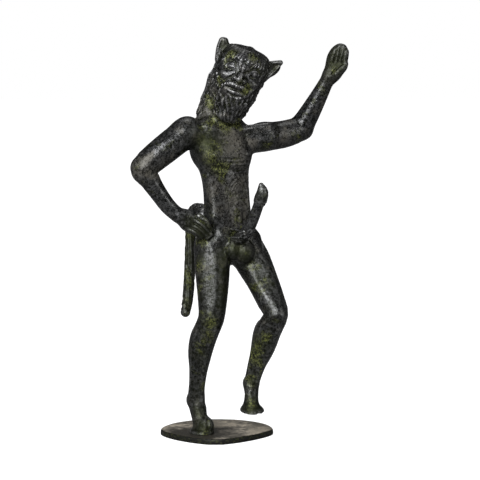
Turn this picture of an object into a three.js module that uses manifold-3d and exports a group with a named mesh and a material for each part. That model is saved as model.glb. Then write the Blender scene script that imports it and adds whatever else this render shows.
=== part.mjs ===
// Bronze satyr statuette, standing on one hoof on a thin plate. Millimetres, +Z up.
// The origin is the centre of the plate's underside. The figure faces -Y, turned towards +X.
// Left and right are the figure's own. Its left arm is raised and its left knee is lifted.
// The figure is modelled as clay: rounded shapes are pressed together or carved away in a block
// of distances. The surface of the clay is meshed and thinned to a light, closed solid.

import * as THREE from "three";
import { MarchingCubes } from "three/addons/objects/MarchingCubes.js";
import { SimplifyModifier } from "three/addons/modifiers/SimplifyModifier.js";
import { mergeVertices } from "three/addons/utils/BufferGeometryUtils.js";
import Module from "manifold-3d";

// Driving dimensions
const PLATE_THICKNESS = 3;
const PLATE_BEVEL = 0.5;
// The plate's reach to the right, back, left and front, and how full its outline is between them:
// 1 is a straight side and 2 a round one. Its front corner is cut short.
const PLATE_REACH = [28.2, 29.6, 28.8, 29.2];
const PLATE_FULLNESS = [2.05, 1.95, 1.5, 1.35];
const PLATE_BLUNT = 28.2;
const SOLE_GAP = 0.3;
const SOLE = PLATE_THICKNESS + SOLE_GAP;
const HOOF_HEIGHT = 6.6;
const FIGURE_TRIANGLES = 9300;

// The block of clay that holds the figure
const BLOCK_LOW = [-47, -40, -2];
const BLOCK_HIGH = [73, 27, 206];
const BLOCK_CELLS = 208;
const BLOCK_POLYGONS = 300000;

// How far the body is turned from -Y towards +X, and how the head leans to its left and bows
const PELVIS_TURN = 38;
const CHEST_TURN = 32;
const HEAD_TURN = 8;
const HEAD_LEAN = 21;
const HEAD_BOW = 4;
const FACE_TURN = 2;

const BRONZE = { color: 0x2d2e28, metalness: 0.85, roughness: 0.42 };
const PLATE_BRONZE = { color: 0x3b372f, metalness: 0.8, roughness: 0.55 };

const DEGREE = Math.PI / 180;
const TRUNK_ROWS = 60;
const BOTH_SIDES = [-1, 1];
const vector = (place) => new THREE.Vector3(...place);

// A frame whose axes point to the figure's left, its back and up.
function bodyFrame(origin, turn, lean = 0, bow = 0) {
  const [x, y, z] = [bow, lean, turn].map((angle) => angle * DEGREE);
  const frame = new THREE.Matrix4().makeRotationFromEuler(new THREE.Euler(x, y, z, "ZYX"));
  return frame.setPosition(vector(origin));
}

// The place at a distance to the left, to the front and up in a frame.
function at(frame, left, front, up) {
  return vector([left, -front, up]).applyMatrix4(frame).toArray();
}

// A frame at a place in another, turned from its front to its left and leant to its left.
function turned(frame, origin, turn, lean = 0) {
  return frame.clone().setPosition(vector(at(frame, ...origin))).multiply(bodyFrame([0, 0, 0], turn, lean));
}

// Limb stations of left, front, up and radius in a frame, turned into x, y, z and radius.
function inFrame(frame, rows) {
  return rows.map(([left, front, up, radius]) => [...at(frame, left, front, up), radius]);
}

// Rows evenly spaced in their first number, on a smooth curve through the given rows.
function smoothRows(rows, count) {
  const last = rows.length - 1;
  const slope = (i, k) => {
    const [before, after] = [rows[Math.max(i - 1, 0)], rows[Math.min(i + 1, last)]];
    return (after[k] - before[k]) / (after[0] - before[0]);
  };
  return Array.from({ length: count }, (_, n) => {
    const key = THREE.MathUtils.lerp(rows[0][0], rows[last][0], n / (count - 1));
    let i = 0;
    while (i < last - 1 && rows[i + 1][0] < key) i += 1;
    const [a, b] = [rows[i], rows[i + 1]];
    const span = b[0] - a[0];
    const t = (key - a[0]) / span;
    return a.map((start, k) => {
      const rise = (b[k] - start) * t * t * (3 - 2 * t);
      const leave = slope(i, k) * t * (1 - t) * (1 - t);
      const arrive = slope(i + 1, k) * t * t * (t - 1);
      return start + rise + (leave + arrive) * span;
    });
  });
}

// A shape has a box around it and a distance to its surface, negative inside.
function shape(places, reach, distance) {
  const box = new THREE.Box3().setFromPoints(places.map(vector)).expandByScalar(reach);
  return { low: box.min.toArray(), high: box.max.toArray(), distance };
}

// A round bar from one place to another, with a radius at each end.
function bar(from, to, startRadius, endRadius) {
  const [ax, ay, az] = from;
  const [bx, by, bz] = [to[0] - ax, to[1] - ay, to[2] - az];
  const square = bx * bx + by * by + bz * bz || 1;
  return (x, y, z) => {
    const [px, py, pz] = [x - ax, y - ay, z - az];
    const along = (px * bx + py * by + pz * bz) / square;
    const t = Math.min(Math.max(along, 0), 1);
    const gap = Math.hypot(px - bx * t, py - by * t, pz - bz * t);
    return gap - startRadius - (endRadius - startRadius) * t;
  };
}

// A smooth round bar through stations of x, y, z and radius.
function limb(stations, steps = 3) {
  const knots = stations.map((station, i) => [i, ...station]);
  const rows = smoothRows(knots, (stations.length - 1) * steps + 1).map((row) => row.slice(1));
  const places = rows.map((row) => row.slice(0, 3));
  const bars = places.slice(1).map((to, i) => bar(places[i], to, rows[i][3], rows[i + 1][3]));
  const widest = Math.max(...rows.map((row) => row[3]));
  return shape(places, widest, (x, y, z) => {
    let least = Infinity;
    for (const distance of bars) least = Math.min(least, distance(x, y, z));
    return least;
  });
}

// An ellipsoid whose radii run along a frame's left, back and up axes.
function ovoid(frame, centre, radii) {
  const middle = at(frame, ...centre);
  const m = frame.clone().setPosition(vector(middle)).invert().elements;
  const [rx, ry, rz] = radii;
  return shape([middle], Math.max(...radii), (x, y, z) => {
    const u = (m[0] * x + m[4] * y + m[8] * z + m[12]) / rx;
    const v = (m[1] * x + m[5] * y + m[9] * z + m[13]) / ry;
    const w = (m[2] * x + m[6] * y + m[10] * z + m[14]) / rz;
    const size = Math.hypot(u, v, w);
    const slope = Math.hypot(u / rx, v / ry, w / rz);
    return slope ? (size * (size - 1)) / slope : -Math.min(...radii);
  });
}

// An upright trunk with an elliptical section, cut flat at both ends.
// Its stations are height, x, y, side radius, depth radius and turn.
function trunk(stations) {
  const rows = smoothRows(stations, TRUNK_ROWS);
  const [low, high] = [rows[0][0], rows[TRUNK_ROWS - 1][0]];
  const section = (z) => {
    const row = ((z - low) / (high - low)) * (TRUNK_ROWS - 1);
    const place = THREE.MathUtils.clamp(row, 0, TRUNK_ROWS - 1.001);
    const i = Math.floor(place);
    return rows[i].map((value, k) => value + (rows[i + 1][k] - value) * (place - i));
  };
  const places = rows.map(([z, x, y]) => [x, y, z]);
  const made = shape(places, Math.max(...rows.map((row) => row[3])), (x, y, z) => {
    const [, cx, cy, side, depth, turn] = section(z);
    const [c, s] = [Math.cos(turn * DEGREE), Math.sin(turn * DEGREE)];
    const u = ((x - cx) * c + (y - cy) * s) / side;
    const v = ((y - cy) * c - (x - cx) * s) / depth;
    const size = Math.hypot(u, v);
    const slope = Math.hypot(u / side, v / depth);
    const across = slope ? (size * (size - 1)) / slope : -depth;
    return Math.max(across, low - z, z - high);
  });
  // A place at a height and at an angle from the front, counted to the figure's left.
  // Its share of the radii is 0 on the axis and 1 on the skin.
  made.place = (z, angle, share = 1) => {
    const [, x, y, side, depth, turn] = section(z);
    const [left, front] = [Math.sin(angle * DEGREE) * side, Math.cos(angle * DEGREE) * depth];
    return at(bodyFrame([x, y, z], turn), left * share, front * share, 0);
  };
  return made;
}

// The same shape moved into a frame.
function placed(made, frame) {
  const reach = made.low.map((value, k) => Math.max(Math.abs(value), Math.abs(made.high[k])));
  const inverse = frame.clone().invert();
  const point = new THREE.Vector3();
  return shape([at(frame, 0, 0, 0)], Math.hypot(...reach), (x, y, z) => {
    point.set(x, y, z).applyMatrix4(inverse);
    return made.distance(point.x, point.y, point.z);
  });
}

// A block of distances to which shapes are added or from which they are carved.
// The field holds the distance with its sign turned, so it is positive inside the clay.
class Clay {
  constructor(low, high, cells) {
    this.low = low;
    this.half = low.map((value, k) => (high[k] - value) / 2);
    this.step = this.half.map((value) => (2 * value) / cells);
    this.cells = cells;
    const material = new THREE.MeshBasicMaterial();
    this.cubes = new MarchingCubes(cells, material, false, false, BLOCK_POLYGONS);
    this.cubes.isolation = 0;
    this.cubes.field.fill(-Infinity);
  }

  // Mixes a shape into the cells around it.
  change(made, blend, mix) {
    const { cells, low, step } = this;
    const { field } = this.cubes;
    const margin = blend + 2 * Math.max(...step);
    const cell = (value, k) => (value - low[k]) / step[k];
    const [i0, j0, k0] = made.low.map((v, k) => Math.max(0, Math.floor(cell(v - margin, k))));
    const [i1, j1, k1] = made.high.map((v, k) => Math.min(cells - 1, Math.ceil(cell(v + margin, k))));
    for (let k = k0; k <= k1; k += 1) {
      for (let j = j0; j <= j1; j += 1) {
        for (let i = i0; i <= i1; i += 1) {
          const index = (k * cells + j) * cells + i;
          const tool = made.distance(low[0] + i * step[0], low[1] + j * step[1], low[2] + k * step[2]);
          field[index] = -mix(-field[index], tool);
        }
      }
    }
  }

  add(made, blend = 1) {
    this.change(made, blend, (clay, tool) => {
      const near = Math.max(blend - Math.abs(clay - tool), 0) / blend;
      return Math.min(clay, tool) - (near * near * blend) / 4;
    });
  }

  carve(made, blend = 0.6) {
    this.change(made, blend, (clay, tool) => {
      const near = Math.max(blend - Math.abs(clay + tool), 0) / blend;
      return Math.max(clay, -tool) + (near * near * blend) / 4;
    });
  }

  // The first place inside the clay on a straight way, moved on by a depth.
  skin(outside, inside, depth = 0) {
    const { cells, low, step } = this;
    const way = vector(inside).sub(vector(outside));
    const length = way.length();
    way.normalize();
    for (let t = 0; t < length; t += 0.1) {
      const point = vector(outside).addScaledVector(way, t);
      const [i, j, k] = point.toArray().map((value, axis) => Math.round((value - low[axis]) / step[axis]));
      const met = this.cubes.field[(k * cells + j) * cells + i] > 0;
      if (met) return point.addScaledVector(way, depth).toArray();
    }
    return inside;
  }

  geometry() {
    this.cubes.update();
    const corners = this.cubes.positionArray.slice(0, this.cubes.count * 3);
    const soup = new THREE.BufferGeometry();
    soup.setAttribute("position", new THREE.BufferAttribute(corners, 3));
    soup.scale(...this.half);
    soup.translate(...this.low.map((value, k) => value + this.half[k]));
    return mergeVertices(soup, 1e-4);
  }
}

// Frames of the body
const WORLD = bodyFrame([0, 0, 0], 0);
const PELVIS = bodyFrame([4.9, -6, 98], PELVIS_TURN);
const CHEST = bodyFrame([2.2, -6, 142], CHEST_TURN);
const HEAD = bodyFrame([11.4, -9, 181.4], HEAD_TURN, HEAD_LEAN, HEAD_BOW);
const FACE = bodyFrame([11.4, -9, 181.4], FACE_TURN, HEAD_LEAN, HEAD_BOW);
const RIGHT_HOOF = bodyFrame([-7.8, -12.4, SOLE], 34);
const LEFT_HOOF = bodyFrame([17.4, -13.8, 14.9], 30, -7, 10);
const RIGHT_PALM = bodyFrame([-13.9, -18.6, 109.8], 20, -46);
const LEFT_PALM = bodyFrame([58.4, 6.6, 183.6], -10, 20);
const LEFT_MITTEN = bodyFrame([60.1, 5.6, 189.4], -10, 22);

const TORSO = trunk([
  [90, 4.9, -5.5, 12, 8.5, PELVIS_TURN],
  [98, 4.9, -5.8, 14.2, 9.6, PELVIS_TURN],
  [107, 4.9, -6, 13, 9.2, 37],
  [119, 4.4, -6, 12, 8.6, 35],
  [129, 3.8, -6, 12.2, 8.8, CHEST_TURN],
  [137, 2.6, -6, 13.4, 9.4, CHEST_TURN],
  [145, 2.2, -6, 16.3, 9.2, CHEST_TURN],
  [152, 2.2, -6, 17.4, 8, CHEST_TURN],
  [158, 2.4, -6, 12.5, 6, CHEST_TURN],
  [162, 2.6, -6, 8, 5, CHEST_TURN],
]);

// The hair falls from the skull to the shoulder blades.
const MANE = trunk([
  [146, -1.4, 4.4, 7, 1.6, 28],
  [150, -1, 2.6, 9.2, 4, 26],
  [155, -1, 0.6, 11.2, 6, 24],
  [160.5, 0, -2, 11.9, 7.6, 20],
  [168, 2.3, -3, 11.5, 8.8, 15],
  [175, 4.8, -4.4, 11.4, 9.8, 10],
  [184, 8.1, -6.4, 11.3, 10.6, HEAD_TURN],
  [190, 10.8, -8.2, 9.2, 8.6, HEAD_TURN],
  [194, 12.2, -8.8, 5, 4.6, HEAD_TURN],
]);

// Stations of x, y, z and radius along each limb
const RIGHT_LEG = [
  [-1.5, -9, 97, 8.8], [-2.3, -11.5, 88, 8.8], [-2.2, -13, 80.5, 8.3], [-2.2, -15, 71.3, 7.4],
  [-2.8, -16.3, 61.5, 6.5], [-6, -14, 52.7, 6.5], [-8.1, -12, 43.9, 5.9], [-9, -10.5, 36.6, 5],
  [-9.8, -9, 28.3, 4.3], [-10.2, -8, 22.5, 4.4], [-10.2, -8, 18.5, 4.6], [-9.3, -9.6, 13, 4.1],
  [-8.6, -11, 9, 3.7],
];
const LEFT_LEG = [
  [13.6, -3, 96.8, 9.8], [18, -6.5, 88.3, 9], [22.4, -11, 79.8, 7.9], [26.6, -16, 70.4, 7],
  [29.2, -19, 63.6, 6], [25.7, -16.5, 55.5, 6.4], [23.4, -14.5, 47.5, 5.9], [20.4, -13, 39.4, 4.8],
  [18.3, -12, 32.3, 4.1], [17.1, -11.6, 27, 3.9], [17.2, -12.5, 22.6, 3.4], [17.4, -13.3, 18.8, 3.2],
];
const RIGHT_ARM = [
  [-14.2, -13, 153.7, 7.4], [-25.3, -18, 145.2, 7.3], [-35.3, -21, 136.2, 6.5], [-32.8, -20.6, 130.2, 5.1],
  [-28.6, -19.8, 123.6, 4.3], [-24, -19.2, 117.2, 4], [-19.4, -18.8, 112.8, 3.7],
];
const LEFT_ARM = [
  [17.5, 1, 149.3, 7], [26.5, 6, 150.6, 7.1], [35.6, 10.5, 152.1, 6.8], [42.1, 13.4, 155.3, 6.1],
  [48.4, 11, 165.6, 4.9], [54, 8.4, 176.4, 3.7], [56, 7.6, 180.4, 3.5],
];
const TAIL = [
  [0, -1.4, 104, 3.2], [-7, 6.6, 113, 2.8], [-10.9, 12, 114.1, 2.6], [-13.6, 15, 109, 2.7],
  [-13.9, 15.2, 92, 2.9], [-14.8, 14.5, 72, 2.9], [-15.8, 13.5, 64.6, 2.8], [-16.4, 13, 60.8, 2.5],
];
const SHAFT = [
  [9.8, -15.5, 100.2, 3], [13.2, -19, 103.2, 3], [16.7, -22.5, 108.2, 2.8], [20.1, -27.6, 117.4, 2.6],
  [21.5, -30.2, 122.4, 2.7],
];
const SHAFT_HEAD = [[21.3, -30, 120.6, 3.3], [22.3, -31.4, 124.8, 2.9], [21.9, -32, 128.8, 0.9]];

// Swellings on the limbs: centre as left, front and up, radii, and blend
const SWELLINGS = [
  { name: "right knee", centre: [-3.1, 19.2, 61.8], radii: [3.4, 3.2, 4.2], blend: 2 },
  { name: "left knee", centre: [29.8, 22.2, 63.8], radii: [3.8, 3.4, 4], blend: 2 },
  { name: "right calf", centre: [-8.8, 9.8, 46.5], radii: [4.4, 4.2, 10], blend: 4 },
  { name: "left calf", centre: [22.6, 11, 50], radii: [4.6, 4.2, 10], blend: 4 },
  { name: "right heel", centre: [-13, 6.4, 18.8], radii: [2.5, 2.6, 3.4], blend: 1.6 },
  { name: "left heel", centre: [15, 9.4, 28], radii: [2.2, 2.4, 3.2], blend: 1.6 },
  { name: "right shoulder", centre: [-16, 14.6, 153], radii: [6.4, 6.4, 6.6], blend: 3 },
  { name: "left shoulder", centre: [23.4, -3.4, 151.2], radii: [7, 6.4, 6.2], blend: 3 },
  { name: "right elbow", centre: [-37.8, 20.4, 136], radii: [3.6, 4, 4], blend: 3 },
  { name: "left elbow", centre: [44.4, -14.4, 153.2], radii: [3.4, 3.4, 3.8], blend: 3 },
  { name: "root of the tail", centre: [-7.4, -4.5, 110.5], radii: [3.8, 4, 4], blend: 2 },
];

function torso(clay) {
  clay.add(TORSO, 2);
  for (const side of BOTH_SIDES) {
    clay.add(ovoid(PELVIS, [side * 7, -5.4, -3.4], [7.2, 6.4, 8.6]), 5);
    clay.add(ovoid(CHEST, [side * 6, 5, -0.4], [7.9, 4, 6.8]), 4);
    clay.add(ovoid(CHEST, [side * 8.4, -5, 3], [6.4, 3.8, 8.6]), 4);
    const flank = [[137, 62], [124, 54], [110, 58]];
    clay.add(limb(flank.map(([z, angle]) => [...TORSO.place(z, side * angle, 0.76), 3])), 3);
  }
  clay.carve(limb([157, 144, 132, 120, 108].map((z) => [...TORSO.place(z, 180, 1.16), 2])), 2);
}

function limbs(clay) {
  for (const leg of [RIGHT_LEG, LEFT_LEG]) clay.add(limb(leg), 4);
  for (const arm of [RIGHT_ARM, LEFT_ARM]) clay.add(limb(arm), 3);
  clay.add(limb(TAIL), 2);
  for (const { centre, radii, blend } of SWELLINGS) clay.add(ovoid(WORLD, centre, radii), blend);
}

// Furrows under the breast, round the belly, down its middle and above the thighs.
// Each is a row of heights and angles from the front.
function furrows(clay) {
  const breast = [-44, -28, -10, 10, 28, 44].map((angle) => [134.4 + Math.abs(angle) / 30, angle]);
  const arch = [[109, -40], [119, -36], [126.5, -24], [129.4, 0], [126.5, 24], [119, 36], [109, 40]];
  const middle = [[129, 0], [118, 0], [106, 0]];
  const groins = BOTH_SIDES.map((side) => [[107, side * 72], [101, side * 52], [95, side * 28]]);
  for (const line of [breast, arch, middle, ...groins]) {
    const places = line.map(([z, angle]) => {
      const [outside, middle] = [TORSO.place(z, angle, 2), TORSO.place(z, angle, 0)];
      return clay.skin(outside, middle, -0.6);
    });
    clay.carve(limb(places.map((place) => [...place, 1.2])), 1);
  }
}

// A hoof widens from its coronet to its sole and is cleft at the front.
function hoof(clay, frame, drop) {
  const bell = trunk([
    [-drop, 0, 0, 5.9, 6.9, 0],
    [HOOF_HEIGHT * 0.15, 0, 0, 5.7, 6.7, 0],
    [HOOF_HEIGHT * 0.4, 0, 0.4, 4.6, 5.4, 0],
    [HOOF_HEIGHT * 0.7, 0, 1, 3.7, 4.2, 0],
    [HOOF_HEIGHT, 0, 1.6, 2.4, 2.6, 0],
  ]);
  clay.add(placed(bell, frame), 1.6);
  const cleft = [[0, 7.4, -0.5, 0.9], [0, 6.2, 2.6, 0.7], [0, 4, 5.6, 0.4]];
  clay.carve(limb(inFrame(frame, cleft)), 0.8);
}

// The planted hoof swells over its left toe and is cleft above it.
function toe(clay) {
  clay.add(ovoid(RIGHT_HOOF, [1.4, 1.6, 3.6], [4, 4.8, 4.7]), 2.2);
  clay.carve(limb(inFrame(RIGHT_HOOF, [[-0.6, 7, 0, 0.6], [-0.3, 6.4, 4, 0.7], [0.6, 4.4, 8, 0.5]])), 1);
}

// Four fingers from a line of knuckles to their tips, bent out at the middle joint.
function fingers(clay, [first, last], tips, bend, radius) {
  tips.forEach((end, i) => {
    const root = vector(first).lerp(vector(last), i / (tips.length - 1));
    const tip = vector(end);
    const joint = root.clone().lerp(tip, 0.5).add(vector(bend));
    const stations = [[root, radius], [joint, radius], [tip, radius * 0.7]];
    clay.add(limb(stations.map(([place, size]) => [...place.toArray(), size])), 0.6);
  });
}

// The fingers of the raised hand lie close together, and its thumb lies along the palm.
function hands(clay) {
  clay.add(ovoid(RIGHT_PALM, [0, 0, 0], [5.2, 2.9, 6.6]), 2.4);
  const rightKnuckles = [[-8.8, -18.8, 112.2], [-13.8, -19.6, 105.8]];
  const rightTips = [[-3.4, -17, 105.4], [-3.3, -18, 103], [-4.7, -18.8, 101.9], [-7.9, -19.2, 101.8]];
  fingers(clay, rightKnuckles, rightTips, [0.5, -0.9, 0.6], 1.65);
  clay.add(ovoid(LEFT_PALM, [0, 0, 0], [4.7, 2.5, 6.4]), 2.4);
  clay.add(ovoid(LEFT_MITTEN, [0, 0, 0], [5.3, 2, 8.1]), 1.5);
  const leftKnuckles = [[56.4, 6.3, 185.8], [63, 5.1, 186.8]];
  const leftTips = [[58.9, 5, 193.5], [61.1, 4.7, 195.6], [63.2, 4.4, 195.3], [64.7, 4.2, 192.9]];
  fingers(clay, leftKnuckles, leftTips, [0, -0.3, 0], 1.3);
  clay.add(limb([[59.4, 5.2, 181.8, 2.3], [62.8, 4.2, 184.7, 2], [64.1, 3.8, 186.6, 1.4]]), 1.6);
}

function loins(clay) {
  clay.add(limb(SHAFT), 1.2);
  clay.add(limb(SHAFT_HEAD), 0.8);
  clay.add(ovoid(WORLD, [7.9, 15, 95], [4, 4, 5.2]), 1.4);
  clay.add(ovoid(WORLD, [13.6, 13.6, 93.7], [5, 5, 6]), 1.1);
}

// The right ear stands up as a blunt leaf, and the left spreads outwards. Both are hollow in front.
function ears(clay) {
  const right = [[-12.7, -0.6, 3.5, 1.9], [-13.8, -0.4, 8.5, 2.1], [-14.3, 0, 12.6, 1.8]];
  clay.add(limb(inFrame(HEAD, right)), 1.4);
  clay.add(limb(inFrame(HEAD, [[-10.6, -0.8, 8, 2.6], [-12, -0.6, 11, 2], [-12.9, -0.2, 13.2, 1.4]])), 1);
  clay.carve(limb(inFrame(HEAD, [[-13.8, 2, 4, 0.9], [-14.5, 2.1, 8.6, 1.1], [-14.7, 2, 13, 0.7]])), 0.6);
  clay.add(ovoid(turned(HEAD, [13.4, -0.4, 7.8], 4, 37), [0, 0, 0], [3.3, 1.5, 5.6]), 1.4);
  clay.add(limb(inFrame(HEAD, [[10.6, -0.2, 9.4, 1.5], [13.6, 0, 11.6, 1.1], [16.5, 0.4, 12.9, 1.1]])), 0.8);
  const lower = [[12.2, 0.4, 2.4, 1.2], [14.2, 0.6, 6.2, 1], [15.6, 0.6, 9.8, 1], [16.5, 0.4, 12.8, 1.1]];
  clay.add(limb(inFrame(HEAD, lower)), 0.8);
  clay.carve(limb(inFrame(HEAD, [[12.6, 2.2, 5.4, 1.2], [14, 1.9, 8.6, 1.3], [15.8, 1.5, 11.4, 0.7]])), 0.8);
}

function face(clay) {
  clay.add(ovoid(HEAD, [0, 3.4, -2.4], [10.6, 8.8, 10]), 2);
  for (const side of BOTH_SIDES) {
    const eye = turned(FACE, [side * 6.1, 9.7, 3], side * 26, -12);
    clay.carve(ovoid(eye, [0, 1.9, 0], [3.5, 2.7, 2.3]), 1);
    clay.add(ovoid(eye, [0, -1, 0], [2.4, 1.7, 1.5]), 0.3);
    const brow = [[side * 1.4, 12, 4.4, 1.1], [side * 5.6, 11, 7, 1.1], [side * 10, 8, 4.6, 1]];
    clay.add(limb(inFrame(FACE, brow)), 1);
    clay.add(ovoid(FACE, [side * 6.8, 8.4, -1.7], [3, 2.5, 2.2]), 1.6);
    clay.add(ovoid(FACE, [side * 2.2, 12.3, -1.7], [1.6, 1.8, 1.4]), 0.7);
  }
  clay.add(limb(inFrame(FACE, [[0, 11.4, 5.2, 1.1], [0, 12.6, 1.6, 1.4], [0, 13.5, -1.3, 1.9]])), 0.9);
}

function beard(clay) {
  clay.add(ovoid(HEAD, [3.4, 0, -1.6], [9.3, 8, 7]), 2);
  clay.add(ovoid(HEAD, [0.1, 3.2, -8], [11.6, 8.6, 8]), 2);
  clay.add(ovoid(HEAD, [1.2, 4, -14.6], [9, 7.8, 10.2]), 3);
  for (const side of BOTH_SIDES) {
    const moustache = [
      [side * 0.4, 12.6, -4.7, 1.4], [side * 3, 12.2, -5.1, 1.5], [side * 5.4, 11, -6.2, 1.1],
      [side * 6.8, 10.4, -7.8, 0.7],
    ];
    clay.add(limb(inFrame(FACE, moustache)), 0.6);
  }
  clay.add(limb(inFrame(FACE, [[-4.4, 10.9, -8, 0.8], [0, 12.3, -8.2, 1], [4.6, 10.9, -8.1, 0.8]])), 0.6);
  clay.carve(limb(inFrame(FACE, [[-5.2, 12, -6.8, 0.5], [0, 13.8, -7, 0.7], [5.6, 12, -7, 0.5]])), 0.3);
}

// A cap of hair ends in a fringe of locks over the brow.
function fringe(clay) {
  clay.add(ovoid(HEAD, [0, 4.2, 6], [9.4, 6.2, 7.4]), 2);
  for (const side of BOTH_SIDES) clay.add(ovoid(HEAD, [side * 6.3, -1, 6.8], [5.9, 8, 7.2]), 2);
  const locks = 11;
  for (let i = 0; i < locks; i += 1) {
    const angle = (i / (locks - 1) - 0.5) * 150 * DEGREE;
    const [left, front] = [Math.sin(angle), Math.cos(angle)];
    const drop = Math.abs(left) * 3;
    const lock = [
      [left * 9.8, front * 9.2 - 1, 12.2 - drop, 1.2],
      [left * 11.7, front * 11.6 - 0.6, 9.6 - drop, 1.5],
      [left * 12, front * 12.5 - 0.6, 7 - drop, 0.9],
    ];
    clay.add(limb(inFrame(HEAD, lock)), 0.8);
  }
}

// Grooves part the beard and the hair into long strands.
function strands(clay) {
  for (let i = 0; i < 9; i += 1) {
    const spread = (i / 4 - 1) * 1.2;
    const [left, front] = [Math.sin(spread), Math.cos(spread)];
    const groove = [
      [left * 10.6 + 0.3, front * 8.8 + 4, -10.5 - front * 1.2, 0.7],
      [left * 9.2 + 1, front * 8.2 + 4, -15.5, 0.9],
      [left * 6.6 + 1.4, front * 6.4 + 4, -21, 0.8],
    ];
    clay.carve(limb(inFrame(HEAD, groove)), 0.8);
  }
  for (let i = 0; i < 9; i += 1) {
    const angle = 180 + (i - 4) * 22;
    const groove = [189, 181, 173, 165, 157, 150].map((z) => [...MANE.place(z, angle, 1.06), 1]);
    clay.carve(limb(groove), 0.8);
  }
}

function head(clay) {
  clay.add(ovoid(HEAD, [0, -1, 1.8], [12.4, 12.4, 13]), 2);
  clay.add(MANE, 2.5);
  face(clay);
  beard(clay);
  fringe(clay);
  strands(clay);
  ears(clay);
}

const wasm = await Module();
wasm.setup();

function solid(geometry) {
  return new wasm.Manifold(
    new wasm.Mesh({
      numProp: 3,
      vertProperties: new Float32Array(geometry.getAttribute("position").array),
      triVerts: new Uint32Array(geometry.index.array),
    }),
  );
}

function geometryOf(body) {
  const { vertProperties, triVerts, numProp } = body.getMesh();
  const corners = new Float32Array(triVerts.length * 3);
  triVerts.forEach((corner, i) => {
    for (let k = 0; k < 3; k += 1) corners[i * 3 + k] = vertProperties[corner * numProp + k];
  });
  const geometry = new THREE.BufferGeometry();
  geometry.setAttribute("position", new THREE.BufferAttribute(corners, 3));
  geometry.computeVertexNormals();
  return geometry;
}

async function thinned(geometry, triangles) {
  const kept = (triangles * 3) / geometry.index.count;
  const removed = geometry.getAttribute("position").count * (1 - kept);
  return new SimplifyModifier().modify(geometry, removed);
}

// The figure stands with a flat sole just above the plate.
async function satyr() {
  const clay = new Clay(BLOCK_LOW, BLOCK_HIGH, BLOCK_CELLS);
  torso(clay);
  limbs(clay);
  furrows(clay);
  hoof(clay, RIGHT_HOOF, 3);
  hoof(clay, LEFT_HOOF, 0);
  toe(clay);
  loins(clay);
  hands(clay);
  head(clay);
  const whole = solid(await thinned(clay.geometry(), FIGURE_TRIANGLES));
  const bodies = whole.trimByPlane([0, 0, 1], SOLE).decompose();
  const [figure] = bodies.sort((a, b) => b.volume() - a.volume());
  const mesh = new THREE.Mesh(geometryOf(figure), new THREE.MeshStandardMaterial(BRONZE));
  mesh.name = "satyr";
  return mesh;
}

// A plate with a softened rim that comes to a blunt corner in front and is rounder behind.
function basePlate() {
  const count = 48;
  const [right, back, left, front] = PLATE_REACH;
  const outline = Array.from({ length: count }, (_, i) => {
    const angle = (i / count) * 2 * Math.PI;
    const power = 2 / PLATE_FULLNESS[Math.floor((4 * i) / count)];
    const [x, y] = [Math.cos(angle), Math.sin(angle)].map((f) => Math.sign(f) * Math.abs(f) ** power);
    const spot = new THREE.Vector2(x * (x > 0 ? right : left), y * (y > 0 ? back : front));
    spot.y = Math.max(spot.y, -PLATE_BLUNT);
    return spot.multiplyScalar(1 - PLATE_BEVEL / PLATE_BLUNT);
  });
  const geometry = new THREE.ExtrudeGeometry(new THREE.Shape(outline), {
    depth: PLATE_THICKNESS - 2 * PLATE_BEVEL,
    bevelThickness: PLATE_BEVEL,
    bevelSize: PLATE_BEVEL,
    bevelSegments: 1,
  });
  const mesh = new THREE.Mesh(geometry, new THREE.MeshStandardMaterial(PLATE_BRONZE));
  mesh.name = "base_plate";
  mesh.position.z = PLATE_BEVEL;
  return mesh;
}

const statuette = new THREE.Group();
statuette.add(await satyr(), basePlate());

export default statuette;
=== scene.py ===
import math
import random

import bpy
import numpy as np
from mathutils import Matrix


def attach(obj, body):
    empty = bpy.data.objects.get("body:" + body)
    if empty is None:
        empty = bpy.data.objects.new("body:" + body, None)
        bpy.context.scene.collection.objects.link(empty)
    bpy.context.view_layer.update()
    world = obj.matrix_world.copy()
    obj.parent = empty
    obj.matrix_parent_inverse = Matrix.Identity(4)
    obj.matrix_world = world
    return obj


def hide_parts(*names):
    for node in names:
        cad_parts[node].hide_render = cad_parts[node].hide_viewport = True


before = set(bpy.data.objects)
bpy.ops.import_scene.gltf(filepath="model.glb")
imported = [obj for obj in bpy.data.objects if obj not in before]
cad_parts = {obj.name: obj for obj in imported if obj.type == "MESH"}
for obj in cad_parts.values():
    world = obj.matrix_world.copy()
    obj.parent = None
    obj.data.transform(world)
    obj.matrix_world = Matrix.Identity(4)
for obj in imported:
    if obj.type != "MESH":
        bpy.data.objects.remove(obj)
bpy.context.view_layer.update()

import openvdb
from mathutils import Euler, Matrix, Vector, noise

# The figure is modelled as clay from the sizes of its solid, in millimetres and in the same frame,
# but finer and with its carving. The clay is a block of distances to the surface, negative inside.
CELL = 0.3
BLOCK_LOW = (-47, -40, -1)
BLOCK_HIGH = (72, 25, 206)
FAR = 40.0
MOST_TRIANGLES = 190000
MILLIMETRE = 0.001

PLATE_THICKNESS = 3.0
# The plate's reach to the right, back, left and front, and how full its outline is between them
PLATE_REACH = (28.2, 29.6, 28.8, 29.2)
PLATE_FULLNESS = (2.05, 1.95, 1.5, 1.35)
PLATE_BLUNT = 28.2
PLATE_POINTS = 160
SOLE = PLATE_THICKNESS - 0.05
HOOF_SOLE = 3.3
HOOF_HEIGHT = 6.6
PELVIS_TURN = 38
CHEST_TURN = 32
HEAD_TURN = 8
HEAD_LEAN = 21
HEAD_BOW = 4
FACE_TURN = 2
TRUNK_ROWS = 80
FRINGE_LOCKS = 19
DEEP_STRANDS = 9
TAIL_STRANDS = 11
BEARD_STRANDS = 41
HAIR_STRANDS = 34
CROWN_STRANDS = 44
HAIR_TUFTS = 90
BEARD_TUFTS = 60
BOTH_SIDES = (-1, 1)

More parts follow.
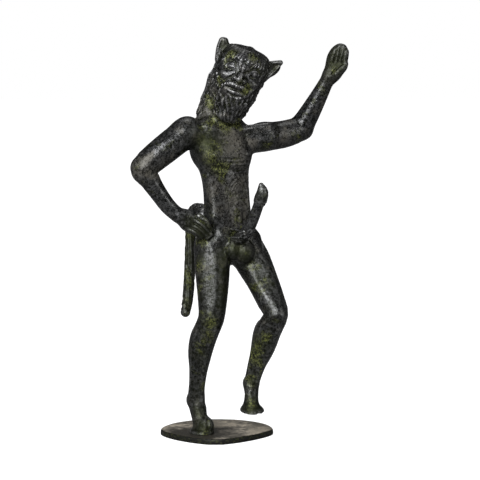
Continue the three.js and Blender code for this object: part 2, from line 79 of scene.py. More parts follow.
# The floor and the camera in metres, its lens and sensor in millimetres, and its dip in degrees
FLOOR_REACH = 12.0
FLOOR_GAP = 0.00005
CAMERA_PLACE = (0.0114, -1.0, 0.183)
CAMERA_LENS = 150
CAMERA_SENSOR = 36
CAMERA_DIP = 4.81


def body_frame(origin, turn, lean=0, bow=0):
    """A frame whose axes point to the figure's left, its back and up."""
    angles = [math.radians(angle) for angle in (bow, lean, turn)]
    return Matrix.Translation(origin) @ Euler(angles, "XYZ").to_matrix().to_4x4()


def at(place, left, front, up):
    """The place at a distance to the left, to the front and up in a frame."""
    return tuple(place @ Vector((left, -front, up)))


def turned(place, origin, turn, lean=0):
    """A frame at a place in another, turned from its front to its left and leant to its left."""
    turn_in_place = Euler((0, math.radians(lean), math.radians(turn)), "XYZ").to_matrix()
    return Matrix.Translation(at(place, *origin)) @ (place.to_3x3() @ turn_in_place).to_4x4()


def smooth_rows(rows, count):
    """Rows evenly spaced in their first number, on a smooth curve through the given rows."""
    rows = np.array(rows, float)
    last = len(rows) - 1
    index = np.arange(last + 1)
    before, after = rows[np.maximum(index - 1, 0)], rows[np.minimum(index + 1, last)]
    slopes = (after - before) / (after[:, :1] - before[:, :1])
    wanted = np.linspace(rows[0, 0], rows[last, 0], count)
    i = np.clip(np.searchsorted(rows[:, 0], wanted) - 1, 0, last - 1)
    span = rows[i + 1, :1] - rows[i, :1]
    t = (wanted[:, None] - rows[i, :1]) / span
    rise = (rows[i + 1] - rows[i]) * t * t * (3 - 2 * t)
    bend = slopes[i] * t * (1 - t) ** 2 + slopes[i + 1] * t * t * (t - 1)
    return rows[i] + rise + bend * span


def smooth_line(stations, count):
    """Evenly spaced stations on a smooth curve through the given ones."""
    return smooth_rows([(i, *station) for i, station in enumerate(stations)], count)[:, 1:]


def grid(axes):
    """Three axes shaped so that numpy spreads them over a block."""
    x, y, z = (np.asarray(axis, np.float32) for axis in axes)
    return x[:, None, None], y[None, :, None], z[None, None, :]


class Limb:
    """A smooth round bar through stations of x, y, z and radius."""

    def __init__(self, stations, steps=3):
        rows = smooth_line(stations, (len(stations) - 1) * steps + 1)
        self.bars = list(zip(rows[:-1], rows[1:]))
        self.low = rows[:, :3].min(0) - rows[:, 3].max()
        self.high = rows[:, :3].max(0) + rows[:, 3].max()

    def distance(self, axes, margin):
        out = np.full([len(axis) for axis in axes], FAR, np.float32)
        for start, end in self.bars:
            wide = max(start[3], end[3]) + margin
            lows = np.minimum(start, end)[:3] - wide
            highs = np.maximum(start, end)[:3] + wide
            region = tuple(
                slice(*np.searchsorted(axis, (low, high))) for axis, low, high in zip(axes, lows, highs)
            )
            if out[region].size == 0:
                continue
            x, y, z = grid([axis[part] - s for axis, part, s in zip(axes, region, start)])
            way = (end - start)[:3].astype(np.float32)
            along = (x * way[0] + y * way[1] + z * way[2]) / max(float(way @ way), 1e-9)
            along = np.clip(along, 0, 1)
            gap = np.sqrt((x - way[0] * along) ** 2 + (y - way[1] * along) ** 2 + (z - way[2] * along) ** 2)
            out[region] = np.minimum(out[region], gap - start[3] - (end[3] - start[3]) * along)
        return out


class Ovoid:
    """An ellipsoid whose radii run along a frame's left, back and up axes."""

    def __init__(self, place, centre, radii):
        self.middle = np.array(at(place, *centre))
        self.turn = np.array(place.to_3x3().transposed(), np.float32)
        self.radii = radii
        self.low = self.middle - max(radii)
        self.high = self.middle + max(radii)

    def distance(self, axes, _margin):
        x, y, z = grid([axis - m for axis, m in zip(axes, self.middle)])
        u, v, w = ((row[0] * x + row[1] * y + row[2] * z) / r for row, r in zip(self.turn, self.radii))
        rx, ry, rz = self.radii
        size = np.sqrt(u * u + v * v + w * w)
        slope = np.sqrt((u / rx) ** 2 + (v / ry) ** 2 + (w / rz) ** 2)
        return size * (size - 1) / np.maximum(slope, 1e-6)


class Trunk:
    """An upright trunk with an elliptical section, cut flat at both ends, in a frame.

    Its stations are height, x, y, side radius, depth radius and turn.
    """

    def __init__(self, stations, place=None):
        self.rows = smooth_rows(stations, TRUNK_ROWS)
        centres, widest = self.rows[:, [1, 2, 0]], self.rows[:, 3:5].max()
        self.low, self.high = centres.min(0) - widest, centres.max(0) + widest
        self.home = place
        if place is not None:
            reach = np.linalg.norm(np.maximum(np.abs(self.low), np.abs(self.high)))
            self.low, self.high = (np.array(place.translation) + side * reach for side in BOTH_SIDES)

    def section(self, z):
        return [np.interp(z, self.rows[:, 0], self.rows[:, k]).astype(np.float32) for k in range(1, 6)]

    def distance(self, axes, _margin):
        x, y, z = grid(axes)
        if self.home is not None:
            rows = np.array(self.home.inverted(), np.float32)[:3]
            x, y, z = (row[0] * x + row[1] * y + row[2] * z + row[3] for row in rows)
        cx, cy, side, depth, turn = self.section(z)
        c, s = np.cos(np.radians(turn)), np.sin(np.radians(turn))
        u = ((x - cx) * c + (y - cy) * s) / side
        v = ((y - cy) * c - (x - cx) * s) / depth
        size = np.sqrt(u * u + v * v)
        slope = np.sqrt((u / side) ** 2 + (v / depth) ** 2)
        across = size * (size - 1) / np.maximum(slope, 1e-6)
        return np.maximum(across, np.maximum(self.rows[0, 0] - z, z - self.rows[-1, 0]))

    def place(self, z, angle, share=1.0):
        """A place at a height and an angle from the front, counted to the figure's left.

        Its share of the radii is 0 on the axis and 1 on the skin.
        """
        x, y, side, depth, turn = (float(value) for value in self.section(z))
        left = math.sin(math.radians(angle)) * side
        front = math.cos(math.radians(angle)) * depth
        return at(body_frame((x, y, z), turn), left * share, front * share, 0)


class Flat:
    """The space in front of a flat strip along a limb.

    Its stations run upwards: x, y and z of the limb's middle line, the distance from that line to
    the flat, and the turn of the flat from the front to the figure's left.
    """

    def __init__(self, stations, reach):
        self.rows = smooth_rows([(z, x, y, depth, turn) for x, y, z, depth, turn in stations], TRUNK_ROWS)
        self.low = np.array([self.rows[:, 1].min() - reach, self.rows[:, 2].min() - reach, self.rows[0, 0]])
        self.high = np.array([self.rows[:, 1].max() + reach, self.rows[:, 2].max(), self.rows[-1, 0]])

    def distance(self, axes, _margin):
        x, y, z = grid(axes)
        cx, cy, depth, turn = (np.interp(z, self.rows[:, 0], self.rows[:, k]) for k in range(1, 5))
        turn = np.radians(turn)
        return (depth - (x - cx) * np.sin(turn) + (y - cy) * np.cos(turn)).astype(np.float32)


class Clay:
    """A block of distances in millimetres to which shapes are added or from which they are carved."""

    def __init__(self, low, high, cell):
        self.low = np.array(low, float)
        self.cell = cell
        count = np.ceil((np.array(high) - self.low) / cell).astype(int) + 1
        self.axes = [start + cell * np.arange(size) for start, size in zip(self.low, count)]
        self.field = np.full(count, FAR, np.float32)

    def change(self, shape, blend, side):
        """Blends a shape into the clay from side 1, or out of it from side -1."""
        margin = blend + 2 * self.cell
        first = np.floor((shape.low - margin - self.low) / self.cell).astype(int)
        last = np.ceil((shape.high + margin - self.low) / self.cell).astype(int) + 1
        first, last = (np.clip(end, 0, self.field.shape) for end in (first, last))
        if (last <= first).any():
            return
        region = tuple(slice(a, b) for a, b in zip(first, last))
        axes = [axis[part] for axis, part in zip(self.axes, region)]
        clay, tool = self.field[region] * side, shape.distance(axes, margin)
        near = np.maximum(blend - np.abs(clay - tool), 0)
        self.field[region] = side * (np.minimum(clay, tool) - near * near / (4 * blend))

    def add(self, shape, blend):
        self.change(shape, blend, 1)

    def carve(self, shape, blend):
        self.change(shape, blend, -1)

    def skin(self, outside, inside, depth=0.0):
        """The first place inside the clay on a straight way, moved on by a depth."""
        outside, inside = np.array(outside), np.array(inside)
        length = np.linalg.norm(inside - outside)
        way = (inside - outside) / length
        steps = np.arange(0, length, 0.1)
        inner = sample(self.field, (outside + way * steps[:, None] - self.low) / self.cell) < 0
        met = steps[np.argmax(inner)] if inner.any() else length
        return outside + way * (met + depth)

    def skins(self, ways, depth):
        """The first places inside the clay on ways from outside to inside, moved on by a depth."""
        return [self.skin(outside, inside, depth) for outside, inside in ways]


def sample(field, spots):
    """The values of a block at spots counted in cells, mixed from the eight cells around each."""
    spots = np.clip(spots, 0, np.array(field.shape) - 1.001)
    base = spots.astype(int)
    share = spots - base
    total = np.zeros(len(spots))
    for corner in np.ndindex(2, 2, 2):
        weight = np.prod(np.where(corner, share, 1 - share), axis=1)
        i, j, k = (base + corner).T
        total += weight * field[i, j, k]
    return total


PELVIS = body_frame((4.9, -6, 98), PELVIS_TURN)
CHEST = body_frame((2.2, -6, 142), CHEST_TURN)
HEAD = body_frame((11.4, -9, 181.4), HEAD_TURN, HEAD_LEAN, HEAD_BOW)
FACE = body_frame((11.4, -9, 181.4), FACE_TURN, HEAD_LEAN, HEAD_BOW)
RIGHT_HOOF = body_frame((-7.8, -12.4, HOOF_SOLE), 34)
LEFT_HOOF = body_frame((17.4, -13.8, 14.9), 30, -7, 10)
RIGHT_PALM = body_frame((-13.9, -18.6, 109.8), 20, -46)
LEFT_PALM = body_frame((58.4, 6.6, 183.6), -10, 20)
WORLD = body_frame((0, 0, 0), 0)

TORSO = Trunk([
    (90, 4.9, -5.5, 12, 8.5, PELVIS_TURN),
    (98, 4.9, -5.8, 14.2, 9.6, PELVIS_TURN),
    (107, 4.9, -6, 13, 9.2, 37),
    (119, 4.4, -6, 12, 8.6, 35),
    (129, 3.8, -6, 12.2, 8.8, CHEST_TURN),
    (137, 2.6, -6, 13.4, 9.4, CHEST_TURN),
    (145, 2.2, -6, 16.3, 9.2, CHEST_TURN),
    (152, 2.2, -6, 17.4, 8, CHEST_TURN),
    (158, 2.4, -6, 12.5, 6, CHEST_TURN),
    (162, 2.6, -6, 8, 5, CHEST_TURN),
])

# The hair falls from the skull to the shoulder blades.
MANE = Trunk([
    (146, -1.4, 4.4, 7, 1.6, 28),
    (150, -1, 2.6, 9.2, 4, 26),
    (155, -1, 0.6, 11.2, 6, 24),
    (160.5, 0, -2, 11.9, 7.6, 20),
    (168, 2.3, -3, 11.5, 8.8, 15),
    (175, 4.8, -4.4, 11.4, 9.8, 10),
    (184, 8.1, -6.4, 11.3, 10.6, HEAD_TURN),
    (190, 10.8, -8.2, 9.2, 8.6, HEAD_TURN),
    (194, 12.2, -8.8, 5, 4.6, HEAD_TURN),
])

# Stations of x, y, z and radius along each limb
RIGHT_LEG = [
    (-1.5, -9, 97, 8.8), (-2.3, -11.5, 88, 8.8), (-2.2, -13, 80.5, 8.3), (-2.2, -15, 71.3, 7.4),
    (-2.8, -16.3, 61.5, 6.5), (-6, -14, 52.7, 6.5), (-8.1, -12, 43.9, 5.9), (-9, -10.5, 36.6, 5),
    (-9.8, -9, 28.3, 4.3), (-10.2, -8, 22.5, 4.4), (-10.2, -8, 18.5, 4.6), (-9.3, -9.6, 13, 4.1),
    (-8.6, -11, 9, 3.7),
]
LEFT_LEG = [
    (13.6, -3, 96.8, 9.8), (18, -6.5, 88.3, 9), (22.4, -11, 79.8, 7.9), (26.6, -16, 70.4, 7),
    (29.2, -19, 63.6, 6), (25.7, -16.5, 55.5, 6.4), (23.4, -14.5, 47.5, 5.9), (20.4, -13, 39.4, 4.8),
    (18.3, -12, 32.3, 4.1), (17.1, -11.6, 27, 3.9), (17.2, -12.5, 22.6, 3.4), (17.4, -13.3, 18.8, 3.2),
]
RIGHT_ARM = [
    (-14.2, -13, 153.7, 7.4), (-25.3, -18, 145.2, 7.3), (-35.3, -21, 136.2, 6.5), (-32.8, -20.6, 130.2, 5.1),
    (-28.6, -19.8, 123.6, 4.3), (-24, -19.2, 117.2, 4), (-19.4, -18.8, 112.8, 3.7),
]
LEFT_ARM = [
    (17.5, 1, 149.3, 7), (26.5, 6, 150.6, 7.1), (35.6, 10.5, 152.1, 6.8), (42.1, 13.4, 155.3, 6.1),
    (48.4, 11, 165.6, 4.9), (54, 8.4, 176.4, 3.7), (56, 7.6, 180.4, 3.5),
]
TAIL = [
    (0, -1.4, 104, 3.2), (-7, 6.6, 113, 2.8), (-10.9, 12, 114.1, 2.6), (-13.6, 15, 109, 2.7),
    (-13.9, 15.2, 92, 2.9), (-14.8, 14.5, 72, 2.9), (-15.8, 13.5, 64.6, 2.8), (-16.4, 13, 60.8, 2.5),
]
SHAFT = [
    (9.8, -15.5, 100.2, 3), (13.2, -19, 103.2, 3), (16.7, -22.5, 108.2, 2.8),
    (20.1, -27.6, 117.4, 2.6), (21.5, -30.2, 122.4, 2.7),
]
SHAFT_HEAD = [(21.3, -30, 120.6, 3.3), (22.3, -31.4, 124.6, 2.9), (21.7, -32, 128.2, 1.3)]

# The rim under the head of the shaft, as left, front and up
RIM = [(18.6, 29.8, 119.6), (20.2, 31.9, 119.4), (22.6, 31.6, 119), (24.1, 29.2, 119.4)]

# Swellings on the limbs: centre as left, front and up, radii, and blend
SWELLINGS = [
    ((-3.1, 19.2, 61.8), (3.4, 3.2, 4.2), 2),
    ((29.8, 22.2, 63.8), (3.8, 3.4, 4), 2),
    ((-8.8, 9.8, 46.5), (4.4, 4.2, 10), 4),
    ((22.6, 11, 50), (4.6, 4.2, 10), 4),
    ((-13, 6.4, 18.8), (2.5, 2.6, 3.4), 1.6),
    ((15, 9.4, 28), (2.2, 2.4, 3.2), 1.6),
    ((-16, 14.6, 153), (6.4, 6.4, 6.6), 3),
    ((23.4, -3.4, 151.2), (7, 6.4, 6.2), 3),
    ((-37.8, 20.4, 136), (3.6, 4, 4), 3),
    ((44.4, -14.4, 153.2), (3.4, 3.4, 3.8), 3),
]

# Flats on the front of the thighs and shins, as their stations and reach
FLATS = [
    ([(-2.4, -15.4, 67, 8, -8), (-2.2, -15, 71.3, 7.2, -10), (-2.2, -13, 80.5, 7.9, -12),
      (-2.3, -11.5, 88, 8.4, -14), (-2, -10, 93, 9.2, -10)], 9),
    ([(27.6, -17, 67, 10, 8), (26.6, -16, 70.4, 7.9, 8), (22.4, -11, 79.8, 7.5, 4),
      (18, -6.5, 88.3, 8.6, 2), (16, -5, 92, 9.8, 0)], 9),
    ([(-10.2, -8, 20, 4.7, -8), (-9.8, -9, 28.3, 3.9, -8), (-9, -10.5, 36.6, 4.5, -8),
      (-8.1, -12, 43.9, 5.5, -8), (-6, -14, 52.7, 7.6, -8)], 7),
    ([(17.1, -11.6, 29, 4, -6), (18.3, -12, 32.3, 3.8, -6), (20.4, -13, 39.4, 4.4, -8),
      (23.4, -14.5, 47.5, 5.6, -8), (25.7, -16.5, 55.5, 7.8, -8)], 7),
]


def torso(clay):
    clay.add(TORSO, 2)
    for side in BOTH_SIDES:
        clay.add(Ovoid(PELVIS, (side * 7, -5.4, -3.4), (7.2, 6.4, 8.6)), 5)
        clay.add(Ovoid(CHEST, (side * 6, 5, -0.4), (7.9, 4, 6.8)), 4)
        clay.add(Ovoid(CHEST, (side * 8.4, -5, 3), (6.4, 3.8, 8.6)), 4)
        flank = [(*TORSO.place(z, side * angle, 0.76), 3) for z, angle in ((137, 62), (124, 54), (110, 58))]
        clay.add(Limb(flank), 3)
    clay.carve(Limb([(*TORSO.place(z, 180, 1.16), 2) for z in (157, 144, 132, 120, 108)]), 2)


def limbs(clay):
    for leg in (RIGHT_LEG, LEFT_LEG):
        clay.add(Limb(leg), 4)
    for stations, reach in FLATS:
        clay.carve(Flat(stations, reach), 0.8)
    for arm in (RIGHT_ARM, LEFT_ARM):
        clay.add(Limb(arm), 3)
    clay.add(Limb(TAIL), 2)
    clay.add(Ovoid(WORLD, (-7.4, -4.5, 110.5), (3.8, 4, 4)), 2)
    for centre, radii, blend in SWELLINGS:
        clay.add(Ovoid(WORLD, centre, radii), blend)


def torso_line(clay, line, depth):
    """Places on the skin of the torso, at heights and at angles from the front to the left."""
    ways = [(TORSO.place(z, angle, 2), TORSO.place(z, angle, 0)) for z, angle in line]
    return clay.skins(ways, depth)


def from_ahead(place, left, up, start=30, end=0):
    """A way in from the front of a frame."""
    return at(place, left, start, up), at(place, left, end, up)


def face_line(clay, line, depth, side=1):
    """Places on the skin seen from the front of the face, as left and up."""
    return clay.skins([from_ahead(FACE, side * left, up) for left, up in line], depth)


def furrow(clay, places, radius, blend=1.0):
    clay.carve(Limb([(*place, radius) for place in places]), blend)


def ridge(clay, places, radius, blend=1.0):
    clay.add(Limb([(*place, radius) for place in places]), blend)


def tapered(places, radius, shares, steps=3):
    """A bar through places, with a share of a radius at each."""
    return Limb([(*place, radius * share) for place, share in zip(places, shares)], steps)


def bar(place, stations):
    """A bar through stations of left, front, up and radius in a frame."""
    return Limb([(*at(place, left, front, up), radius) for left, front, up, radius in stations])


def furrows(clay):
    """Soft furrows of the breast, belly and groins, and low swellings of the collar bones and blades."""
    breast = [(134.4 + abs(angle) / 30, angle) for angle in (-46, -28, -10, 10, 28, 50)]
    furrow(clay, torso_line(clay, breast, -0.9), 1.2)
    for z, low, high in ((140, -14, 24), (138, -4, 30), (136.2, 4, 34), (134, 6, 36), (132.4, 6, 34)):
        wrinkle = [(z + abs(angle - 8) / 45, angle) for angle in np.linspace(low, high, 4)]
        furrow(clay, torso_line(clay, wrinkle, -0.1), 0.4, 0.4)
    for step in range(5):
        width, low = 27 - step * 4.6, step * 1.6
        bow = [(114 + low, -1), (122, -1), (127.5 - low, -0.7), (130.4 - low, 0), (127.5 - low, 0.7),
               (122, 1), (116 + low, 1)]
        furrow(clay, torso_line(clay, [(z, 9 + width * share) for z, share in bow], -0.1), 0.42, 0.5)
    crease = [(134, -52), (127, -46), (119, -43), (112, -43)]
    furrow(clay, torso_line(clay, crease, -1.9), 2.5, 2)
    muscle = [(136, -72), (128, -65), (120, -61), (112, -60)]
    ridge(clay, torso_line(clay, muscle, 2.2), 3.1, 2.4)
    for side in BOTH_SIDES:
        groin = [(105, side * 68), (100, side * 50), (95, side * 30)]
        furrow(clay, torso_line(clay, groin, -1.8), 2, 3)
        collar = [(153.4, side * 10), (154.4, side * 30), (156, side * 56)]
        ridge(clay, torso_line(clay, collar, 1.3), 1.7, 2)
        nipple = torso_line(clay, [(142.2, side * 33)], 0.3)[0]
        clay.add(Ovoid(body_frame(nipple, CHEST_TURN + side * 33), (0, 0, 0), (0.8, 0.7, 0.8)), 0.8)
        blade = [(154, side * 142), (147, side * 150), (141, side * 162)]
        ridge(clay, torso_line(clay, blade, 1.4), 2, 2.4)
    for z in (132.4, 130, 127.4):
        furrow(clay, torso_line(clay, [(z, 40), (z - 0.6, 48), (z - 0.9, 56)], -0.4), 0.6)
    navel = torso_line(clay, [(111.4, 2)], -0.3)[0]
    clay.carve(Ovoid(body_frame(navel, PELVIS_TURN), (0, 0, 0), (0.8, 1.0, 1.0)), 0.6)
    cleft = [at(PELVIS, 0, -front, up) for front, up in ((11.4, 4), (13, -2), (12.6, -8), (9, -12.6))]
    furrow(clay, cleft, 1.5, 1.6)


def hoof(clay, place, drop):
    """A hoof widens from its coronet to its sole and is cleft at the front."""
    bell = [
        (-drop, 0, 0, 5.9, 6.9, 0),
        (HOOF_HEIGHT * 0.12, 0, 0, 5.5, 6.5, 0),
        (HOOF_HEIGHT * 0.35, 0, 0.4, 4.3, 5.2, 0),
        (HOOF_HEIGHT * 0.6, 0, 1, 3.4, 4.1, 0),
        (HOOF_HEIGHT, 0, 1.6, 2.6, 2.8, 0),
        (HOOF_HEIGHT + 3, 0, 2.2, 1.2, 1.2, 0),
    ]
    clay.add(Trunk(bell, place), 1.2)
    clay.carve(bar(place, [(0, 7.4, -0.5, 0.9), (0, 6.2, 2.6, 0.7), (0, 4, 5.6, 0.4)]), 0.8)


def finger_lines(knuckles, tips, bend):
    """Root, joint and tip of each finger, bent out at the joint."""
    rows = [(np.array(root), np.array(tip)) for root, tip in zip(knuckles, tips)]
    return [np.array([root, (root + tip) / 2 + bend, tip]) for root, tip in rows]


RIGHT_FINGERS = finger_lines(
    [(-8.8, -18.8, 112.2), (-10.5, -19.1, 110.1), (-12.1, -19.3, 107.9), (-13.8, -19.6, 105.8)],
    [(-3.4, -17, 105.4), (-3.3, -18, 103), (-4.7, -18.8, 101.9), (-7.9, -19.2, 101.8)],
    bend=(0.5, -0.9, 0.6),
)
LEFT_FINGERS = finger_lines(
    [(56.4, 6.3, 185.8), (58.8, 5.9, 186.1), (61, 5.5, 186.4), (63, 5.1, 186.8)],
    [(58.9, 5, 193.5), (61.1, 4.7, 195.6), (63.2, 4.4, 195.3), (64.7, 4.2, 192.9)],
    bend=(0, -0.3, 0),
)


def fingers(clay, lines, radius, blend):
    for line in lines:
        clay.add(tapered(line, radius, (1, 1, 0.85)), blend)


def hands(clay):
    clay.add(Ovoid(RIGHT_PALM, (0, 0, 0), (5.2, 2.9, 6.6)), 2.4)
    fingers(clay, RIGHT_FINGERS, 1.65, 0.7)
    clay.add(Ovoid(LEFT_PALM, (0, 0, 0), (4.7, 2.5, 6.4)), 2.4)
    # The fingers of the raised hand lie close together, and its thumb lies along the palm
    mitten = body_frame((60.1, 5.6, 189.4), -10, 22)
    clay.add(Ovoid(mitten, (0, 0, 0), (5.3, 2, 8.1)), 1.5)
    fingers(clay, LEFT_FINGERS, 1.3, 0.8)
    clay.add(Limb([(59.4, 5.2, 181.8, 2.3), (62.8, 4.2, 184.7, 2), (64.1, 3.8, 186.6, 1.4)]), 1.6)


def loins(clay):
    clay.add(Limb(SHAFT), 1.2)
    clay.add(Limb(SHAFT_HEAD), 0.8)
    furrow(clay, [at(WORLD, x, front, z) for x, front, z in RIM], 0.5, 0.5)
    clay.add(Ovoid(WORLD, (7.9, 15, 95), (4, 4, 5.2)), 1.4)
    clay.add(Ovoid(WORLD, (13.6, 13.6, 93.7), (5, 5, 6)), 1.1)


def ears(clay):
    """The right ear stands up as a blunt leaf, and the left spreads outwards. Both are hollow in front."""
    clay.add(bar(HEAD, [(-12.7, -0.6, 3.5, 1.9), (-13.8, -0.4, 8.5, 2.1), (-14.3, 0, 12.6, 1.8)]), 1.4)
    clay.add(bar(HEAD, [(-10.6, -0.8, 8, 2.6), (-12, -0.6, 11, 2), (-12.9, -0.2, 13.2, 1.4)]), 1)
    clay.carve(bar(HEAD, [(-13.8, 2, 4, 0.9), (-14.5, 2.1, 8.6, 1.1), (-14.7, 2, 13, 0.7)]), 0.6)
    clay.add(Ovoid(turned(HEAD, (13.4, -0.4, 7.8), 4, 37), (0, 0, 0), (3.3, 1.5, 5.6)), 1.4)
    clay.add(bar(HEAD, [(10.6, -0.2, 9.4, 1.5), (13.6, 0, 11.6, 1.1), (16.5, 0.4, 12.9, 1.1)]), 0.8)
    lower = [(12.2, 0.4, 2.4, 1.2), (14.2, 0.6, 6.2, 1), (15.6, 0.6, 9.8, 1), (16.5, 0.4, 12.8, 1.1)]
    clay.add(bar(HEAD, lower), 0.8)
    clay.carve(bar(HEAD, [(12.6, 2.2, 5.4, 1.2), (14, 1.9, 8.6, 1.3), (15.8, 1.5, 11.4, 0.7)]), 0.8)


def eye_frame(side):
    return turned(FACE, (side * 6.1, 9.7, 3), side * 26, -12)


def face(clay):
    clay.add(Ovoid(HEAD, (0, 3.4, -2.4), (10.6, 8.8, 10)), 2)
    for side in BOTH_SIDES:
        clay.carve(Ovoid(eye_frame(side), (0, 1.9, 0), (3.5, 2.7, 2.3)), 1)
        clay.add(Ovoid(eye_frame(side), (0, -1, 0), (2.4, 1.7, 1.5)), 0.3)
        brow = ((1.2, 4.2), (2.8, 6.2), (5.6, 7.2), (8.4, 6.6), (10.2, 4.6))
        ridge(clay, face_line(clay, brow, 0.3, side), 1.1, 1)
        clay.add(Ovoid(FACE, (side * 6.8, 8.4, -1.7), (3.0, 2.5, 2.2)), 1.6)
        clay.add(Ovoid(FACE, (side * 2.2, 12.3, -1.7), (1.6, 1.8, 1.4)), 0.7)
    clay.add(bar(FACE, [(0, 11.4, 5.2, 1.1), (0, 12.6, 1.6, 1.4), (0, 13.5, -1.3, 1.9)]), 0.9)
    clay.add(Ovoid(FACE, (-3.2, 8.6, 8.6), (2.6, 1.6, 1.5)), 1)


# Lines of left, front and up down each cheek, from the temple to below the mouth
CHEEK_LINES = [
    [(-12.6, 1, 3.5), (-12, 5, -2.2), (-9.6, 8, -5.2), (-7, 10.5, -7.2), (-4.9, 11, -8.8), (-3, 11.5, -10),
     (-0.8, 12, -10.6)],
    [(10.8, 5, 5.2), (10.4, 7, 2.4), (9.9, 8, -0.5), (8.7, 9.5, -3.4), (7.6, 10.5, -6.2), (5.6, 11, -8.9),
     (3.4, 11.5, -10)],
]


def beard(clay):
    clay.add(Ovoid(HEAD, (3.4, 0, -1.6), (9.3, 8, 7)), 2)
    clay.add(Ovoid(HEAD, (0.1, 3.2, -8), (11.6, 8.6, 8)), 2)
    clay.add(Ovoid(HEAD, (1.2, 4, -14.6), (9, 7.8, 10.2)), 3)
    moustache = ((0.4, 12.6, -4.7, 1.4), (3, 12.2, -5.1, 1.5), (5.4, 11, -6.2, 1.1), (6.8, 10.4, -7.8, 0.7))
    for side in BOTH_SIDES:
        clay.add(bar(FACE, [(side * left, *rest) for left, *rest in moustache]), 0.6)
    clay.add(bar(FACE, [(-4.4, 10.9, -8, 0.8), (0, 12.3, -8.2, 1), (4.6, 10.9, -8.1, 0.8)]), 0.6)
    clay.carve(bar(FACE, [(-5.2, 12, -6.8, 0.4), (0, 13.8, -7, 0.55), (5.6, 12, -7, 0.4)]), 0.3)
    for line in CHEEK_LINES:
        ways = [(at(FACE, left * 2.4, front * 2.4, up), at(FACE, 0, 0, up)) for left, front, up in line]
        ridge(clay, clay.skins(ways, 0.45), 0.85, 0.5)


def fringe(clay):
    """A cap of hair ends in a fringe of low locks over the brow."""
    clay.add(Ovoid(HEAD, (0, 4.2, 6), (9.4, 6.2, 7.4)), 2)
    for side in BOTH_SIDES:
        clay.add(Ovoid(HEAD, (side * 6.3, -1, 6.8), (5.9, 8, 7.2)), 2)
    for i in range(FRINGE_LOCKS):
        angle = math.radians((i / (FRINGE_LOCKS - 1) - 0.5) * 156)
        low = 7.9 - 1.6 * abs(math.sin(angle)) + (0.5 if i % 2 else 0)
        ways = []
        for up, sway in ((12.6, 0), (10.6, 0.05), (low, -0.03)):
            left, front = math.sin(angle + sway), math.cos(angle + sway)
            ways.append((at(FACE, 26 * left, 26 * front - 1, up), at(FACE, 0, -1, up)))
        clay.add(tapered(clay.skins(ways, 0.2), 1, (0.7, 1.0, 0.9)), 0.6)


def strand(clay, ways, radius):
    """A groove on the skin where ways from outside to inside meet it, thin at both ends."""
    shares = [0.45] + [1.0] * (len(ways) - 2) + [0.45]
    clay.carve(tapered(clay.skins(ways, -0.1), radius, shares, 2), 0.5)


def crown_way(around, lift):
    """A way to the middle of the skull, turned from the front to the left and lifted."""
    left, front, up = math.sin(around) * math.cos(lift), math.cos(around) * math.cos(lift), math.sin(lift)
    return at(HEAD, 20 * left, 20 * front - 1, 20 * up + 1.6), at(HEAD, 0, -1, 1.6)


def beard_way(spread, up):
    """A way to the middle of the beard, turned from the front to the left."""
    middle = float(np.interp(up, (-23, -14.6, -8), (2, 1.2, 0.1)))
    outside = at(HEAD, middle + 22 * math.sin(spread), 3.5 + 22 * math.cos(spread), up)
    return outside, at(HEAD, middle, 3.5, up)


def mane_ways(line):
    """Ways to the middle of the mane at heights and at angles from the front to the left."""
    return [(MANE.place(z, angle, 1.8), MANE.place(z, angle, 0)) for z, angle in line]


def deep_strands(clay):
    """Grooves part the beard and the hair into long strands."""
    for i in range(DEEP_STRANDS):
        spread = (i / (DEEP_STRANDS // 2) - 1) * 1.2
        left, front = math.sin(spread), math.cos(spread)
        groove = [
            (left * 10.6 + 0.3, front * 8.8 + 4, -10.5 - front * 1.2, 0.7),
            (left * 9.2 + 1, front * 8.2 + 4, -15.5, 0.9),
            (left * 6.6 + 1.4, front * 6.4 + 4, -21, 0.8),
        ]
        clay.carve(bar(HEAD, groove), 0.8)
    for i in range(DEEP_STRANDS):
        angle = 180 + (i - DEEP_STRANDS // 2) * 22
        groove = [(*MANE.place(z, angle, 1.06), 1) for z in (189, 181, 173, 165, 157, 150)]
        clay.carve(Limb(groove), 0.8)


def fine_strands(clay):
    """Fine wavy lines on the beard, the hair and the fringe."""
    # Where the strands of the beard start on either side: their spread and their height
    right = ((0.3, 0.8, 1.3, 1.7), (-11.4, -7.6, -3.2, 0.5))
    left = ((0.3, 0.8, 1.1, 1.5), (-10.8, -6.6, 0, 4))
    for i in range(BEARD_STRANDS):
        spread = (i / (BEARD_STRANDS - 1) * 2 - 1) * 2.05
        top = float(np.interp(abs(spread), *(right if spread < 0 else left)))
        low = float(np.interp(abs(spread), (0.6, 1.3, 2.05), (-23.4, -21.6, -17)))
        ups = np.linspace(top - (i % 2) * 1.2, low, 9)
        ways = [beard_way(spread + 0.045 * math.sin(up * 0.85 + i * 1.7), up) for up in ups]
        strand(clay, ways, 0.42 if i % 3 else 0.55)
    for i in range(HAIR_STRANDS):
        angle = 180 + (i / (HAIR_STRANDS - 1) * 2 - 1) * 122
        heights = np.linspace(190 - (i % 2) * 3, 149 if abs(angle - 180) < 70 else 156, 11)
        angles = angle + 3 * np.sin(heights * 0.35 + i * 1.1)
        strand(clay, mane_ways(zip(heights, angles)), 0.46)
    for i in range(CROWN_STRANDS):
        around = 2 * math.pi * i / CROWN_STRANDS
        lifts = np.radians(np.linspace(84 - (i % 3) * 9, 52 if math.cos(around) > 0.2 else 16, 6))
        strand(clay, [crown_way(around + 0.03 * math.sin(lift * 9 + i), lift) for lift in lifts], 0.45)


